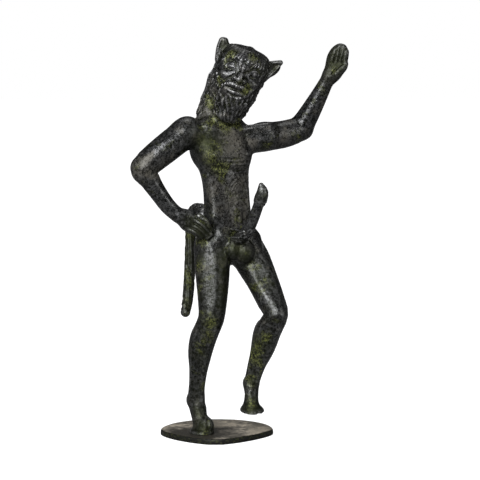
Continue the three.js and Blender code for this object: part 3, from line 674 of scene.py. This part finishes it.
def tufts(clay):
    """Short hooked strokes among the strands at the sides of the hair and the beard."""
    draw = random.Random(11)
    for _ in range(HAIR_TUFTS):
        side = draw.choice(BOTH_SIDES)
        z, angle = draw.uniform(157, 188), 180 + side * draw.uniform(30, 118)
        slant, bend = draw.uniform(-9, 9), draw.uniform(-5, 5)
        stroke = [(z, angle), (z - 1.8, angle + slant * 0.5 + bend), (z - 3.6, angle + slant)]
        strand(clay, mane_ways(stroke), 0.5)
    for _ in range(BEARD_TUFTS):
        spread = draw.choice(BOTH_SIDES) * draw.uniform(0.5, 1.9)
        top = float(np.interp(abs(spread), (0.3, 0.8, 1.3, 1.7), (-11.4, -8, -4, -1)))
        up = draw.uniform(-20, top)
        slant = draw.uniform(-0.16, 0.16)
        stroke = [(spread, up), (spread + slant, up - 1.3), (spread + slant * 0.7, up - 2.6)]
        strand(clay, [beard_way(s, u) for s, u in stroke], 0.5)


def face_carving(clay):
    """Eyelids, folds, nostrils, and fine hairs of the moustache and the brows."""
    turns = [math.radians(angle) for angle in (176, 145, 110, 75, 40, 6)]

    def lid(side, width, height, middle, depth):
        eye = eye_frame(side)
        spots = [(width * math.cos(t), middle + height * math.sin(t)) for t in turns]
        return clay.skins([from_ahead(eye, x, up, 8, -6) for x, up in spots], depth)

    def line(spots, radius, blend=0.3, depth=-0.1, side=1):
        furrow(clay, face_line(clay, spots, depth, side), radius, blend)

    for side in BOTH_SIDES:
        ridge(clay, lid(side, 2.9, 1.8, -0.1, 0.1), 0.45, 0.3)
        ridge(clay, lid(side, 2.7, -1.5, 0, 0.1), 0.4, 0.3)
        furrow(clay, lid(side, 3.7, 2.7, 0, -0.1), 0.4, 0.4)
        for k in range(3):
            frown = ((1 + k * 0.8, 2.6 - k * 0.7), (1.5 + k * 0.9, 4.2 - k * 0.6),
                     (2.2 + k * 1.2, 5.8 - k * 0.2))
            line(frown, 0.42, depth=-0.15, side=side)
        line(((3.2, -0.2), (4.6, -2), (6.6, -4.2), (7.4, -6)), 0.5, 0.5, -0.15, side)
        clay.carve(Ovoid(FACE, (side * 1.6, 14, -2.9), (0.8, 1.3, 0.6)), 0.3)
        line(((1.4, -0.4), (2.2, 0.2), (3.4, -0.4), (3.9, -1.8)), 0.4, side=side)
        for k in range(7):
            x = 0.5 + k * 0.95
            whisker = ((x, -3.7 - k * 0.2), (x + 0.4, -4.9 - k * 0.25), (x + 0.6, -6 - k * 0.3))
            line(whisker, 0.36, side=side)
        for k in range(7):
            x = 2.2 + k * 1.2
            top = 7.9 - 0.12 * (x - 5.6) ** 2
            line(((x, top - 1.6), (x + 0.7, top)), 0.3, depth=-0.05, side=side)
    for up in (2.2, 3.4):
        line([(x, up + 0.2 * abs(x)) for x in (-1.5, 0, 1.5)], 0.36)
    line([(x, -10.1 + 0.06 * x * x) for x in (-3, 0, 3.2)], 0.5, 0.5)


def finger_grooves(clay, lines, push, radius):
    """Grooves between the fingers, on the side of the hand that a push points to."""
    for one, other in zip(lines[:-1], lines[1:]):
        clay.carve(tapered((one + other) / 2 + push, radius, (0.6, 1, 0.8)), 0.4)


def hand_carving(clay):
    finger_grooves(clay, RIGHT_FINGERS, (0, -1.5, 0), 0.5)
    for push in ((0, -1.35, 0), (0, 1.5, 0)):
        finger_grooves(clay, LEFT_FINGERS, push, 0.35)
    clay.carve(Limb([(57.2, 4.2, 181.6, 0.4), (59.8, 3, 184.8, 0.55), (62.8, 2.2, 187.6, 0.5)]), 0.6)


def tail_carving(clay):
    """Hair lies along the tail and turns slowly round it."""
    rows = smooth_line(TAIL, 40)[4:]
    ways = np.gradient(rows[:, :3], axis=0)
    ways /= np.linalg.norm(ways, axis=1)[:, None]
    sides = np.cross(ways, (0.3, -1, 0.1))
    sides /= np.linalg.norm(sides, axis=1)[:, None]
    fronts = np.cross(sides, ways)
    for k in range(TAIL_STRANDS):
        angle = (2 * math.pi * k / TAIL_STRANDS + np.linspace(0, 2.4, len(rows)))[:, None]
        places = rows[:, :3] + (sides * np.cos(angle) + fronts * np.sin(angle)) * (rows[:, 3:] + 0.15)
        clay.carve(Limb([(*place, 0.34) for place in places[::2]], 1), 0.3)
    draw = random.Random(3)
    for i in range(2, len(rows) - 2):
        for _ in range(2):
            turn = draw.uniform(0, 2 * math.pi)
            stroke = []
            for step in (0, 1):
                out = sides[i] * math.cos(turn + step * 0.7) + fronts[i] * math.sin(turn + step * 0.7)
                stroke.append((*(rows[i + step, :3] + out * rows[i, 3]), 0.4))
            clay.carve(Limb(stroke), 0.3)


def curls(clay):
    """Small curls below the belly."""
    draw = random.Random(5)
    for row in range(4):
        for column in range(5 - row % 2):
            left = (column - 2 + row % 2 * 0.5) * 2.3 + draw.uniform(-0.3, 0.3)
            up = 7.4 - row * 1.9 + draw.uniform(-0.3, 0.3) - abs(left) * 0.12
            start = draw.uniform(0, 6.3)
            arc = []
            for step in range(5):
                turn = start + step * 1.1
                x, z = left + 0.8 * math.cos(turn), up + 0.8 * math.sin(turn)
                arc.append((*clay.skin(*from_ahead(PELVIS, x, z), 0.2), 0.62 - 0.06 * step))
            clay.add(Limb(arc, 2), 0.25)


def leg_crests(clay):
    """A crest runs down each shin, and a furrow down each side of the calf."""
    for stations, turn, top, bottom in ((RIGHT_LEG, 30, 56, 18), (LEFT_LEG, 34, 57, 30)):
        rows = smooth_line(stations, 60)[::-1]
        for shape, angle, depth, radius in (
            (ridge, turn, 0.6, 1.2), (furrow, turn + 62, -0.75, 1), (furrow, turn - 66, -0.75, 1)
        ):
            way = np.array([math.sin(math.radians(angle)), -math.cos(math.radians(angle)), 0])
            places = []
            for z in np.linspace(top, bottom, 6):
                middle = np.array([np.interp(z, rows[:, 2], rows[:, k]) for k in (0, 1)] + [z])
                places.append(clay.skin(middle + way * 16, middle, depth))
            shape(clay, places, radius, 2)


def hooves(clay):
    hoof(clay, RIGHT_HOOF, 3)
    hoof(clay, LEFT_HOOF, 0)
    # The planted hoof swells over its left toe and is cleft above it
    clay.add(Ovoid(RIGHT_HOOF, (1.4, 1.6, 3.6), (4, 4.8, 4.7)), 2.2)
    clay.carve(bar(RIGHT_HOOF, [(-0.6, 7, 0, 0.6), (-0.3, 6.4, 4, 0.7), (0.6, 4.4, 8, 0.5)]), 1)
    # The raised hoof has a hollow sole with a wedge in its middle
    clay.carve(Ovoid(LEFT_HOOF, (0, 0, -0.7), (4.2, 5, 1.1)), 0.6)
    clay.add(bar(LEFT_HOOF, [(0, -4.6, 0.3, 0.9), (0, 1.6, 0.3, 0.5)]), 0.6)


def head(clay):
    clay.add(Ovoid(HEAD, (0, -1, 1.8), (12.4, 12.4, 13)), 2)
    clay.add(MANE, 2.5)
    for step in (face, beard, fringe, deep_strands, fine_strands, tufts, face_carving, ears):
        step(clay)


def figure_clay():
    clay = Clay(BLOCK_LOW, BLOCK_HIGH, CELL)
    for step in (
        torso, limbs, furrows, leg_crests, hooves, loins, curls, tail_carving, hands, hand_carving, head
    ):
        step(clay)
    clay.field = np.maximum(clay.field, (SOLE - clay.axes[2]).astype(np.float32))
    return clay


def fullness(clay, radius):
    """How full of clay the surroundings are: half on a flat, more in a hollow, less on a crest."""
    coarse = clay.field[::2, ::2, ::2]
    full = np.clip(0.5 - coarse / (2 * clay.cell), 0, 1)
    reach = max(1, round(radius / (2 * clay.cell)))
    width = 2 * reach + 1
    for axis in (0, 1, 2, 0, 1, 2):
        rows = np.moveaxis(full, axis, 0)
        sums = np.cumsum(np.pad(rows, ((reach + 1, reach), (0, 0), (0, 0))), axis=0, dtype=np.float64)
        full = np.moveaxis(((sums[width:] - sums[:-width]) / width).astype(np.float32), 0, axis)
    return full


def mesh_object(name, places, faces):
    mesh = bpy.data.meshes.new(name)
    mesh.from_pydata(np.asarray(places).tolist(), [], faces)
    mesh.validate()
    mesh.shade_smooth()
    made = bpy.data.objects.new(name, mesh)
    bpy.context.scene.collection.objects.link(made)
    return made


def clay_object(name, clay):
    """The clay's surface as a mesh in metres, thinned where it is smooth."""
    band = 3 * clay.cell
    block = openvdb.FloatGrid(band)
    block.copyFromArray(np.clip(clay.field, -band, band))
    spots, triangles, quads = block.convertToPolygons(isovalue=0.0, adaptivity=0.0)
    places = (spots * clay.cell + clay.low) * MILLIMETRE
    made = mesh_object(name, places, triangles.tolist() + quads[:, ::-1].tolist())
    count = len(triangles) + 2 * len(quads)
    if count > MOST_TRIANGLES:
        thin = made.modifiers.new("thin", "DECIMATE")
        thin.ratio = MOST_TRIANGLES / count
        thinned = bpy.data.meshes.new_from_object(made.evaluated_get(bpy.context.evaluated_depsgraph_get()))
        made.modifiers.clear()
        made.data = thinned
        thinned.name = name
        thinned.shade_smooth()
    return made


def corners(made):
    flat = np.empty(len(made.data.vertices) * 3, np.float32)
    made.data.vertices.foreach_get("co", flat)
    return flat.reshape(-1, 3)


def add_hollow(made, clay):
    """Marks each corner of the mesh: half on a flat, towards 1 in a hollow and 0 on a crest."""
    spots = (corners(made) / MILLIMETRE - clay.low) / (2 * clay.cell)
    for name, radius, gain in (("hollow_fine", 0.6, 3.2), ("hollow_broad", 2.2, 2.0)):
        values = 0.5 + (sample(fullness(clay, radius), spots) - 0.5) * gain
        made.data.attributes.new(name, "FLOAT", "POINT").data.foreach_set("value", np.clip(values, 0, 1))


# Patches of olive crust, of a dull brown film and of painted shade, seen from the front and from behind:
# x, z, radius and amount, in millimetres
PATCHES = {
    "crust": ([
        (7, 192, 4, 0.7), (18, 190, 4, 0.8), (17.4, 185, 3, 0.5), (12, 178, 2.5, 0.8), (14, 173.4, 3, 0.9),
        (1.4, 180, 3, 0.6), (-3, 170, 5, 0.5), (-1, 159, 5, 0.7), (4, 156, 5, 0.9), (-8, 150, 6, 0.5),
        (-3, 141, 6, 0.8), (1, 136, 5, 1.0), (10, 157, 5, 0.6), (-5, 126, 6, 0.4), (-6, 112, 6, 0.6),
        (8, 112, 6, 0.3), (6, 103, 7, 0.5), (-15, 102, 6, 0.5), (-7, 99, 5, 0.6), (-9, 88, 5, 0.8),
        (9, 96, 5, 0.4), (14, 92, 5, 0.3), (3, 88, 4, 0.5), (4, 74, 4, 0.5), (-10, 76, 6, 0.3),
        (-3, 60, 6, 0.8), (-4, 54, 6, 0.7), (-8, 42, 7, 0.4), (-9, 30, 6, 0.4), (-7, 12, 6, 0.4),
        (-5, 6, 7, 0.25), (17, 88, 5, 0.5), (20, 78, 6, 0.4), (26, 62, 5, 0.4), (20, 50, 7, 0.7),
        (17, 42, 7, 0.8), (17, 30, 7, 0.6), (18, 18, 6, 0.5), (-16, 100, 7, 0.5), (-14, 96, 8, 0.4),
        (-14, 80, 8, 0.5), (-15, 66, 7, 0.5), (-22, 118, 6, 0.3), (-27, 132, 5, 0.5), (24, 146, 5, 0.6),
        (32, 144, 6, 0.3), (58, 184, 6, 0.3), (44, 150, 6, 0.3), (-38, 138, 5, 0.4),
    ], [
        (2, 186, 9, 0.6), (0, 170, 8, 0.7), (-2, 156, 8, 0.7), (8, 144, 7, 0.6), (-8, 140, 7, 0.4),
        (4, 126, 7, 0.6), (0, 110, 8, 0.7), (12, 100, 7, 0.4), (-6, 92, 7, 0.6), (22, 78, 6, 0.5),
        (-2, 66, 7, 0.7), (26, 60, 7, 0.6), (-8, 44, 7, 0.5), (20, 44, 7, 0.7), (-10, 22, 6, 0.7),
        (17, 24, 6, 0.6), (-32, 132, 7, 0.5), (36, 152, 7, 0.5), (-15, 90, 8, 0.6), (54, 176, 6, 0.5),
    ]),
    "film": ([
        (0, 128, 5, 0.5), (12, 128, 6, 0.8), (2, 116, 5, 0.4), (14, 118, 6, 0.8), (-26, 137, 5, 0.5),
        (34, 150, 5, 0.5), (8, 148, 8, 1.0), (11, 140, 6, 0.8), (8, 122, 7, 0.8), (10, 112, 6, 0.7),
        (-38, 136, 6, 0.8), (57, 186, 7, 0.2), (4, 172, 7, 0.3), (-5, 164, 6, 0.7), (13, 96, 6, 0.4),
        (29, 190, 5, 0.5),
    ], [
        (6, 134, 10, 0.8), (8, 104, 8, 0.6), (-34, 134, 7, 0.6), (57, 184, 7, 0.6), (-3, 76, 8, 0.5),
    ]),
    # Painted shade: dark patches on the legs, loins, chest, hand and hooves that stand in for shade and also
    # dull the reflection
    "painted_shade": ([
        (-14, 99, 7, 0.9), (-14, 88, 8, 0.9), (-14, 76, 8, 0.9), (-15, 66, 7, 0.9), (3.8, 196, 4, 0.8),
        (29, 184, 4.5, 0.8), (59, 188, 12, 0.95), (-5, 148, 9, 1.0), (-4, 140, 6, 0.6), (24, 184, 4, 0.5),
        (9, 95, 6, 1.0), (14, 93, 6, 1.0), (-9.6, 24, 9, 0.5), (17, 30, 9, 0.5), (-7, 6, 8, 1.0),
        (3.6, 92, 6, 0.9), (3.8, 84, 6, 0.9), (3.8, 76, 6, 0.9), (2.6, 69, 6, 0.8), (-8, 92, 4, 0.7),
        (-8, 82, 4, 0.7), (-8.4, 72, 4, 0.7), (12, 88, 5, 0.6), (17, 76, 5, 0.6), (27, 78, 4, 0.6),
        (-4, 62, 11, 0.5), (-8, 44, 12, 0.5), (-9, 14, 6, 0.8), (-2, 80, 14, 0.4), (22, 48, 12, 0.55),
        (25, 66, 9, 0.35), (20, 82, 12, 0.45), (17, 17, 8, 1.0), (-4, 116, 5, 0.4), (-8, 104, 7, 1.0),
        (-12, 107.5, 5, 0.9), (20, 124, 5, 0.6),
    ], [
        (-12, 114, 5, 0.6), (-14, 96, 8, 0.6), (-14, 78, 8, 0.6), (0, 84, 6, 0.6),
    ]),
}


def add_patches(made, clay):
    """Marks each patch on the corners of the mesh, at the skin met from in front or from behind."""
    places = corners(made) / MILLIMETRE
    for name, (ahead, behind) in PATCHES.items():
        amounts = np.zeros(len(places))
        for patches, start in ((ahead, -60), (behind, 50)):
            for x, z, radius, amount in patches:
                middle = clay.skin((x, start, z), (x, -start * 0.4, z))
                square = ((places - middle) ** 2).sum(1)
                amounts = np.maximum(amounts, amount * np.exp(-square / radius ** 2))
        made.data.attributes.new(name, "FLOAT", "POINT").data.foreach_set("value", amounts)


# Rings of the plate from its underside round the rim and over its top, as distance in and height
PLATE_RINGS = [
    (0.9, 0), (0.35, 0.04), (0.1, 0.25), (0, 0.6), (0, 1.2), (0.03, 1.9), (0.12, 2.4), (0.34, 2.76),
    (0.7, 2.94), *((1.2 + step * 1.3, PLATE_THICKNESS) for step in range(20)),
]


def plate_object():
    """A plate that comes to a blunt corner in front and is rounder behind, with a soft rim."""
    turns = np.arange(PLATE_POINTS) * 2 * math.pi / PLATE_POINTS
    quadrant = (turns // (math.pi / 2)).astype(int)
    powers = 2 / np.array(PLATE_FULLNESS)[quadrant]
    right, back, left, front = PLATE_REACH
    outline = []
    for wave, reach in (
        (np.cos(turns), (right, left, left, right)), (np.sin(turns), (back, back, front, front))
    ):
        outline.append(np.sign(wave) * np.abs(wave) ** powers * np.array(reach)[quadrant])
    outline = np.stack([outline[0], np.maximum(outline[1], -PLATE_BLUNT)], 1)
    places, faces = [], []
    for inset, height in PLATE_RINGS:
        for x, y in outline * (1 - inset / PLATE_BLUNT):
            # The top is uneven by about a tenth of a millimetre, and the outline is slightly rough
            spot = Vector((x * 0.12, y * 0.12, height * 0.4))
            uneven = 0.09 * noise.noise(spot) + 0.04 * noise.noise(spot * 3.1)
            top = min(1.0, inset) if height > PLATE_THICKNESS / 2 else 0.0
            rough = 1 + 0.0035 * noise.noise(Vector((x * 0.2, y * 0.2, height * 1.5 + 7)))
            spot = (x * rough, y * rough, height + uneven * top)
            places.append([value * MILLIMETRE for value in spot])
    last = len(places) - PLATE_POINTS
    for low in range(0, last, PLATE_POINTS):
        high = low + PLATE_POINTS
        for i in range(PLATE_POINTS):
            j = (i + 1) % PLATE_POINTS
            faces.append((low + i, low + j, high + j, high + i))
    faces += [tuple(range(PLATE_POINTS))[::-1], tuple(range(last, len(places)))]
    return mesh_object("plate", places, faces)


class Nodes:
    """The nodes of a material or the world, added one by one in front of its shader."""

    def __init__(self, owner, shader="Principled BSDF", where="Object"):
        owner.use_nodes = True
        self.owner, self.tree = owner, owner.node_tree
        self.shader = self.tree.nodes[shader]
        self.where = self.add("ShaderNodeTexCoord").outputs[where]

    def add(self, kind, inputs=None, **settings):
        node = self.tree.nodes.new(kind)
        for key, value in settings.items():
            setattr(node, key, value)
        self.fill(node, inputs or {})
        return node

    def fill(self, node, inputs):
        for key, value in inputs.items():
            if isinstance(value, bpy.types.NodeSocket):
                self.tree.links.new(value, node.inputs[key])
            else:
                node.inputs[key].default_value = value

    def noise(self, size, detail=4, roughness=0.55, distortion=0.0):
        """Noise whose patches are about a size in millimetres."""
        inputs = {
            "Vector": self.where, "Scale": 1 / (size * MILLIMETRE), "Detail": detail,
            "Roughness": roughness, "Distortion": distortion,
        }
        return self.add("ShaderNodeTexNoise", inputs).outputs["Fac"]

    def attribute(self, name):
        return self.add("ShaderNodeAttribute", attribute_name=name).outputs["Fac"]

    def math(self, operation, first, second=0.0):
        return self.add("ShaderNodeMath", {0: first, 1: second}, operation=operation).outputs[0]

    def plus(self, first, second):
        return self.math("ADD", first, second)

    def times(self, first, second):
        return self.math("MULTIPLY", first, second)

    def most(self, first, second):
        return self.math("MAXIMUM", first, second)

    def ramp(self, value, low, high, start=0.0, end=1.0):
        """A value turned from a low and high to a start and end, smooth between them."""
        inputs = {"Value": value, "From Min": low, "From Max": high, "To Min": start, "To Max": end}
        return self.add("ShaderNodeMapRange", inputs, interpolation_type="SMOOTHSTEP").outputs["Result"]

    def mix(self, share, first, second):
        return self.add("ShaderNodeMix", {0: share, 6: first, 7: second}, data_type="RGBA").outputs[2]

    def bump(self, height, distance, strength, normal=None):
        inputs = {"Height": height, "Distance": distance * MILLIMETRE, "Strength": strength}
        if normal:
            inputs["Normal"] = normal
        return self.add("ShaderNodeBump", inputs).outputs["Normal"]


DARK_BRONZE = (0.0024, 0.0026, 0.0022, 1)
GREY_BRONZE = (0.040, 0.0402, 0.0396, 1)
# The bright bronze of worn specks, and of the painted highlight on crests
WORN_AND_HIGHLIT_BRONZE = (0.115, 0.115, 0.112, 1)
BROWN_FILM = (0.041, 0.0375, 0.029, 1)
OLIVE_CRUST = (0.070, 0.076, 0.020, 1)
# The near-black that painted shade darkens towards, and the dark ground of the olive crust
DARK_OLIVE = (0.008, 0.009, 0.004, 1)


def figure_bronze():
    """Dark polished bronze with a dull brown film and olive crust in veins and specks, painted shade in the
    hollows and in patches, and crests painted bright as wear and highlight.
    """
    n = Nodes(bpy.data.materials.new("figure_bronze"))
    names = ("hollow_fine", "hollow_broad", "crust", "film", "painted_shade")
    fine, broad, crust, film, painted_shade = (n.attribute(name) for name in names)
    blotch, mottle = n.noise(8, 4, 0.55), n.noise(2.4, 5, 0.6)
    grain, sand = n.noise(1.1, 4, 0.65), n.noise(0.5, 3, 0.6)
    hollow = n.plus(n.ramp(fine, 0.52, 0.85), n.times(n.ramp(broad, 0.54, 0.9), 0.5))
    tone = n.plus(n.plus(n.times(mottle, 0.3), n.times(grain, 0.35)), n.times(sand, 0.35))
    colour = n.mix(n.ramp(tone, 0.43, 0.58), DARK_BRONZE, GREY_BRONZE)
    # Crests are painted bright, partly as wear and partly as painted highlight
    worn_and_highlit = n.times(n.ramp(fine, 0.45, 0.12), n.ramp(grain, 0.38, 0.6, 0.1, 0.8))
    colour = n.mix(worn_and_highlit, colour, WORN_AND_HIGHLIT_BRONZE)
    # The film lies in its own patches and in clouds between them
    dull = n.times(n.plus(film, n.ramp(blotch, 0.54, 0.68, 0, 0.6)), n.ramp(tone, 0.42, 0.53, 0.2, 1))
    dull = n.math("MINIMUM", dull, 0.9)
    colour = n.mix(dull, colour, BROWN_FILM)
    # Fine worn specks and dark pits lie in the film as well as in the bare bronze
    fleck, spread = n.noise(1.2, 3, 0.7, 0.6), n.ramp(blotch, 0.56, 0.42, 0.15, 1)
    colour = n.mix(n.times(spread, n.ramp(fleck, 0.54, 0.64, 0, 0.3)), colour, WORN_AND_HIGHLIT_BRONZE)
    colour = n.mix(n.times(spread, n.ramp(fleck, 0.48, 0.38, 0, 0.75)), colour, DARK_BRONZE)
    # Veins follow the places where a noise passes through its middle value
    offset = n.math("ABSOLUTE", n.math("SUBTRACT", n.noise(1.5, 3, 0.65, 0.8), 0.5))
    reach = n.plus(n.plus(crust, n.ramp(blotch, 0.5, 0.34, 0, 0.5)), n.times(hollow, 0.12))
    speck = n.ramp(n.plus(sand, n.times(reach, 0.1)), 0.58, 0.72)
    green = n.times(n.most(n.ramp(offset, 0.035, 0.004), speck), n.ramp(reach, 0.25, 0.85))
    green = n.times(green, n.ramp(grain, 0.4, 0.56, 0.1, 1))
    # Painted shade darkens the hollows and the shade patches nearly to black; the ground between the crust's
    # veins is darkened as the crust's own colour
    shade = n.times(hollow, n.ramp(grain, 0.62, 0.4, 0.2, 0.9))
    shade = n.most(shade, n.times(painted_shade, n.ramp(grain, 0.62, 0.4, 0.85, 1)))
    shade = n.most(shade, n.ramp(reach, 0.3, 0.9, 0, 0.75))
    colour = n.mix(n.math("MINIMUM", shade, 0.9), colour, DARK_OLIVE)
    covered = n.most(green, n.times(dull, 0.8))
    rough = n.times(n.most(covered, n.times(painted_shade, 0.7)), 0.3)
    normal = n.bump(grain, 0.15, 0.6, n.bump(mottle, 0.13, 0.5))
    n.fill(n.shader, {
        "Base Color": n.mix(green, colour, OLIVE_CRUST),
        "Metallic": n.ramp(covered, 0, 1, 0.7, 0.05),
        "Specular IOR Level": n.ramp(painted_shade, 0, 1, 0.22, 0.05),
        "Specular Tint": (0.6, 0.6, 0.6, 1),
        "Roughness": n.plus(n.ramp(mottle, 0.3, 0.7, 0.17, 0.28), rough),
        "Normal": n.bump(sand, 0.09, 0.6, normal),
    })
    return n.owner


PLATE_PALE = (0.250, 0.220, 0.172, 1)
PLATE_TOP = (0.105, 0.094, 0.076, 1)
PLATE_DARK = (0.020, 0.018, 0.014, 1)
PLATE_EDGE = (0.004, 0.004, 0.0035, 1)
PLATE_OLIVE = (0.018, 0.019, 0.008, 1)


def plate_bronze():
    """Brown-grey bronze with painted shade round the hoof and a dark mottled edge; the top's lighter colour
    is partly its own and partly painted light from above.
    """
    n = Nodes(bpy.data.materials.new("plate_bronze"))
    clouds, mottle = n.noise(14, 5, 0.6), n.noise(2.6, 5, 0.6)
    grain, sand = n.noise(1.1, 4, 0.6), n.noise(0.5, 4)
    facing = n.add("ShaderNodeSeparateXYZ", {"Vector": n.add("ShaderNodeNewGeometry").outputs["Normal"]})
    # Painted shade darkens the top round the hoof
    hoof_place = (-6.5 * MILLIMETRE, -12 * MILLIMETRE, PLATE_THICKNESS * MILLIMETRE)
    away = n.add("ShaderNodeVectorMath", {0: n.where, 1: hoof_place}, operation="DISTANCE")
    near = n.ramp(away.outputs["Value"], 4 * MILLIMETRE, 26 * MILLIMETRE, 0.2, 0)
    light = n.math("SUBTRACT", n.plus(n.times(clouds, 0.6), n.times(mottle, 0.4)), near)
    face = n.mix(n.ramp(light, 0.36, 0.5), PLATE_DARK, PLATE_TOP)
    face = n.mix(n.ramp(light, 0.48, 0.6), face, PLATE_PALE)
    face = n.mix(n.ramp(grain, 0.5, 0.68, 0, 0.5), face, PLATE_DARK)
    face = n.mix(n.ramp(sand, 0.55, 0.75, 0, 0.3), face, PLATE_TOP)
    # Faces turned up take the light top colours and the rest the near-black edge: partly the plate's own
    # colours, partly painted light from above and painted shade on the edge
    edge = n.mix(n.ramp(grain, 0.48, 0.64), PLATE_EDGE, PLATE_OLIVE)
    n.fill(n.shader, {
        "Base Color": n.mix(n.ramp(facing.outputs["Z"], 0.8, 0.99), edge, face),
        "Metallic": 0.3,
        "Specular IOR Level": 0.1,
        "Roughness": n.ramp(mottle, 0.3, 0.7, 0.42, 0.6),
        "Normal": n.bump(grain, 0.06, 0.5, n.bump(mottle, 0.12, 0.5)),
    })
    return n.owner


def floor_object():
    """Grey paper under the plate, which shows as plain white to the camera alone."""
    spots = [(x * FLOOR_REACH, y * FLOOR_REACH, -FLOOR_GAP) for x, y in ((-1, -1), (1, -1), (1, 1), (-1, 1))]
    floor = mesh_object("floor", spots, [(0, 1, 2, 3)])
    n = Nodes(bpy.data.materials.new("floor_paper"))
    n.fill(n.shader, {
        "Base Color": (0.2, 0.2, 0.2, 1),
        "Emission Color": (1, 1, 1, 1),
        "Emission Strength": n.add("ShaderNodeLightPath").outputs["Is Camera Ray"],
        "Roughness": 0.9,
        "Specular IOR Level": 0.1,
    })
    floor.data.materials.append(n.owner)
    return floor


def light(name, kind, energy, place, target, **settings):
    """A light at a place, turned to a target and unseen by the camera."""
    data = bpy.data.lights.new(name, kind)
    data.energy = energy
    for key, value in settings.items():
        setattr(data, key, value)
    made = bpy.data.objects.new(name, data)
    made.location = place
    made.rotation_euler = (Vector(target) - Vector(place)).to_track_quat("-Z", "Y").to_euler()
    made.visible_camera = False
    bpy.context.scene.collection.objects.link(made)


def box(name, energy, place, target, width, height, color=(1, 1, 1)):
    light(name, "AREA", energy, place, target, shape="RECTANGLE", size=width, size_y=height, color=color)


def studio_world():
    """A dim room, pale at its horizon, that shows as plain white where nothing stands before it."""
    n = Nodes(bpy.data.worlds.new("studio"), "Background", "Generated")
    height = n.add("ShaderNodeSeparateXYZ", {0: n.where}).outputs["Z"]
    seen = n.add("ShaderNodeLightPath").outputs["Is Camera Ray"]
    strength = n.most(n.ramp(height, 0.05, 0.3, 0.35, 0.08), seen)
    n.fill(n.shader, {"Strength": strength, "Color": (1, 1, 1, 1)})
    bpy.context.scene.world = n.owner


def surroundings():
    floor_object()
    studio_world()
    middle = (0.01, 0, 0.1)
    box("front_box", 37, (-0.32, -0.9, 0.58), (0.01, 0, 0.15), 0.86, 0.8, (0.95, 0.96, 1))
    light("top_sun", "SUN", 1.5, (0.1, 0.2, 1.2), middle, angle=math.radians(40))
    box("left_box", 2.5, (-0.95, -0.3, 0.3), middle, 0.12, 0.9)
    box("right_box", 6, (0.9, -0.6, 0.4), middle, 0.32, 0.9)
    camera_data = bpy.data.cameras.new("camera")
    camera_data.lens = CAMERA_LENS
    camera_data.sensor_width = CAMERA_SENSOR
    camera = bpy.data.objects.new("camera", camera_data)
    camera.location = CAMERA_PLACE
    camera.rotation_euler = (math.radians(90 - CAMERA_DIP), 0, 0)
    bpy.context.scene.collection.objects.link(camera)
    bpy.context.scene.camera = camera
    bpy.context.scene.view_settings.view_transform = "Standard"


clay = figure_clay()
satyr = clay_object("satyr_figure", clay)
add_hollow(satyr, clay)
add_patches(satyr, clay)
satyr.data.materials.append(figure_bronze())
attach(satyr, "root")
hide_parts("satyr")

plate = plate_object()
plate.data.materials.append(plate_bronze())
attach(plate, "root")
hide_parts("base_plate")

surroundings()
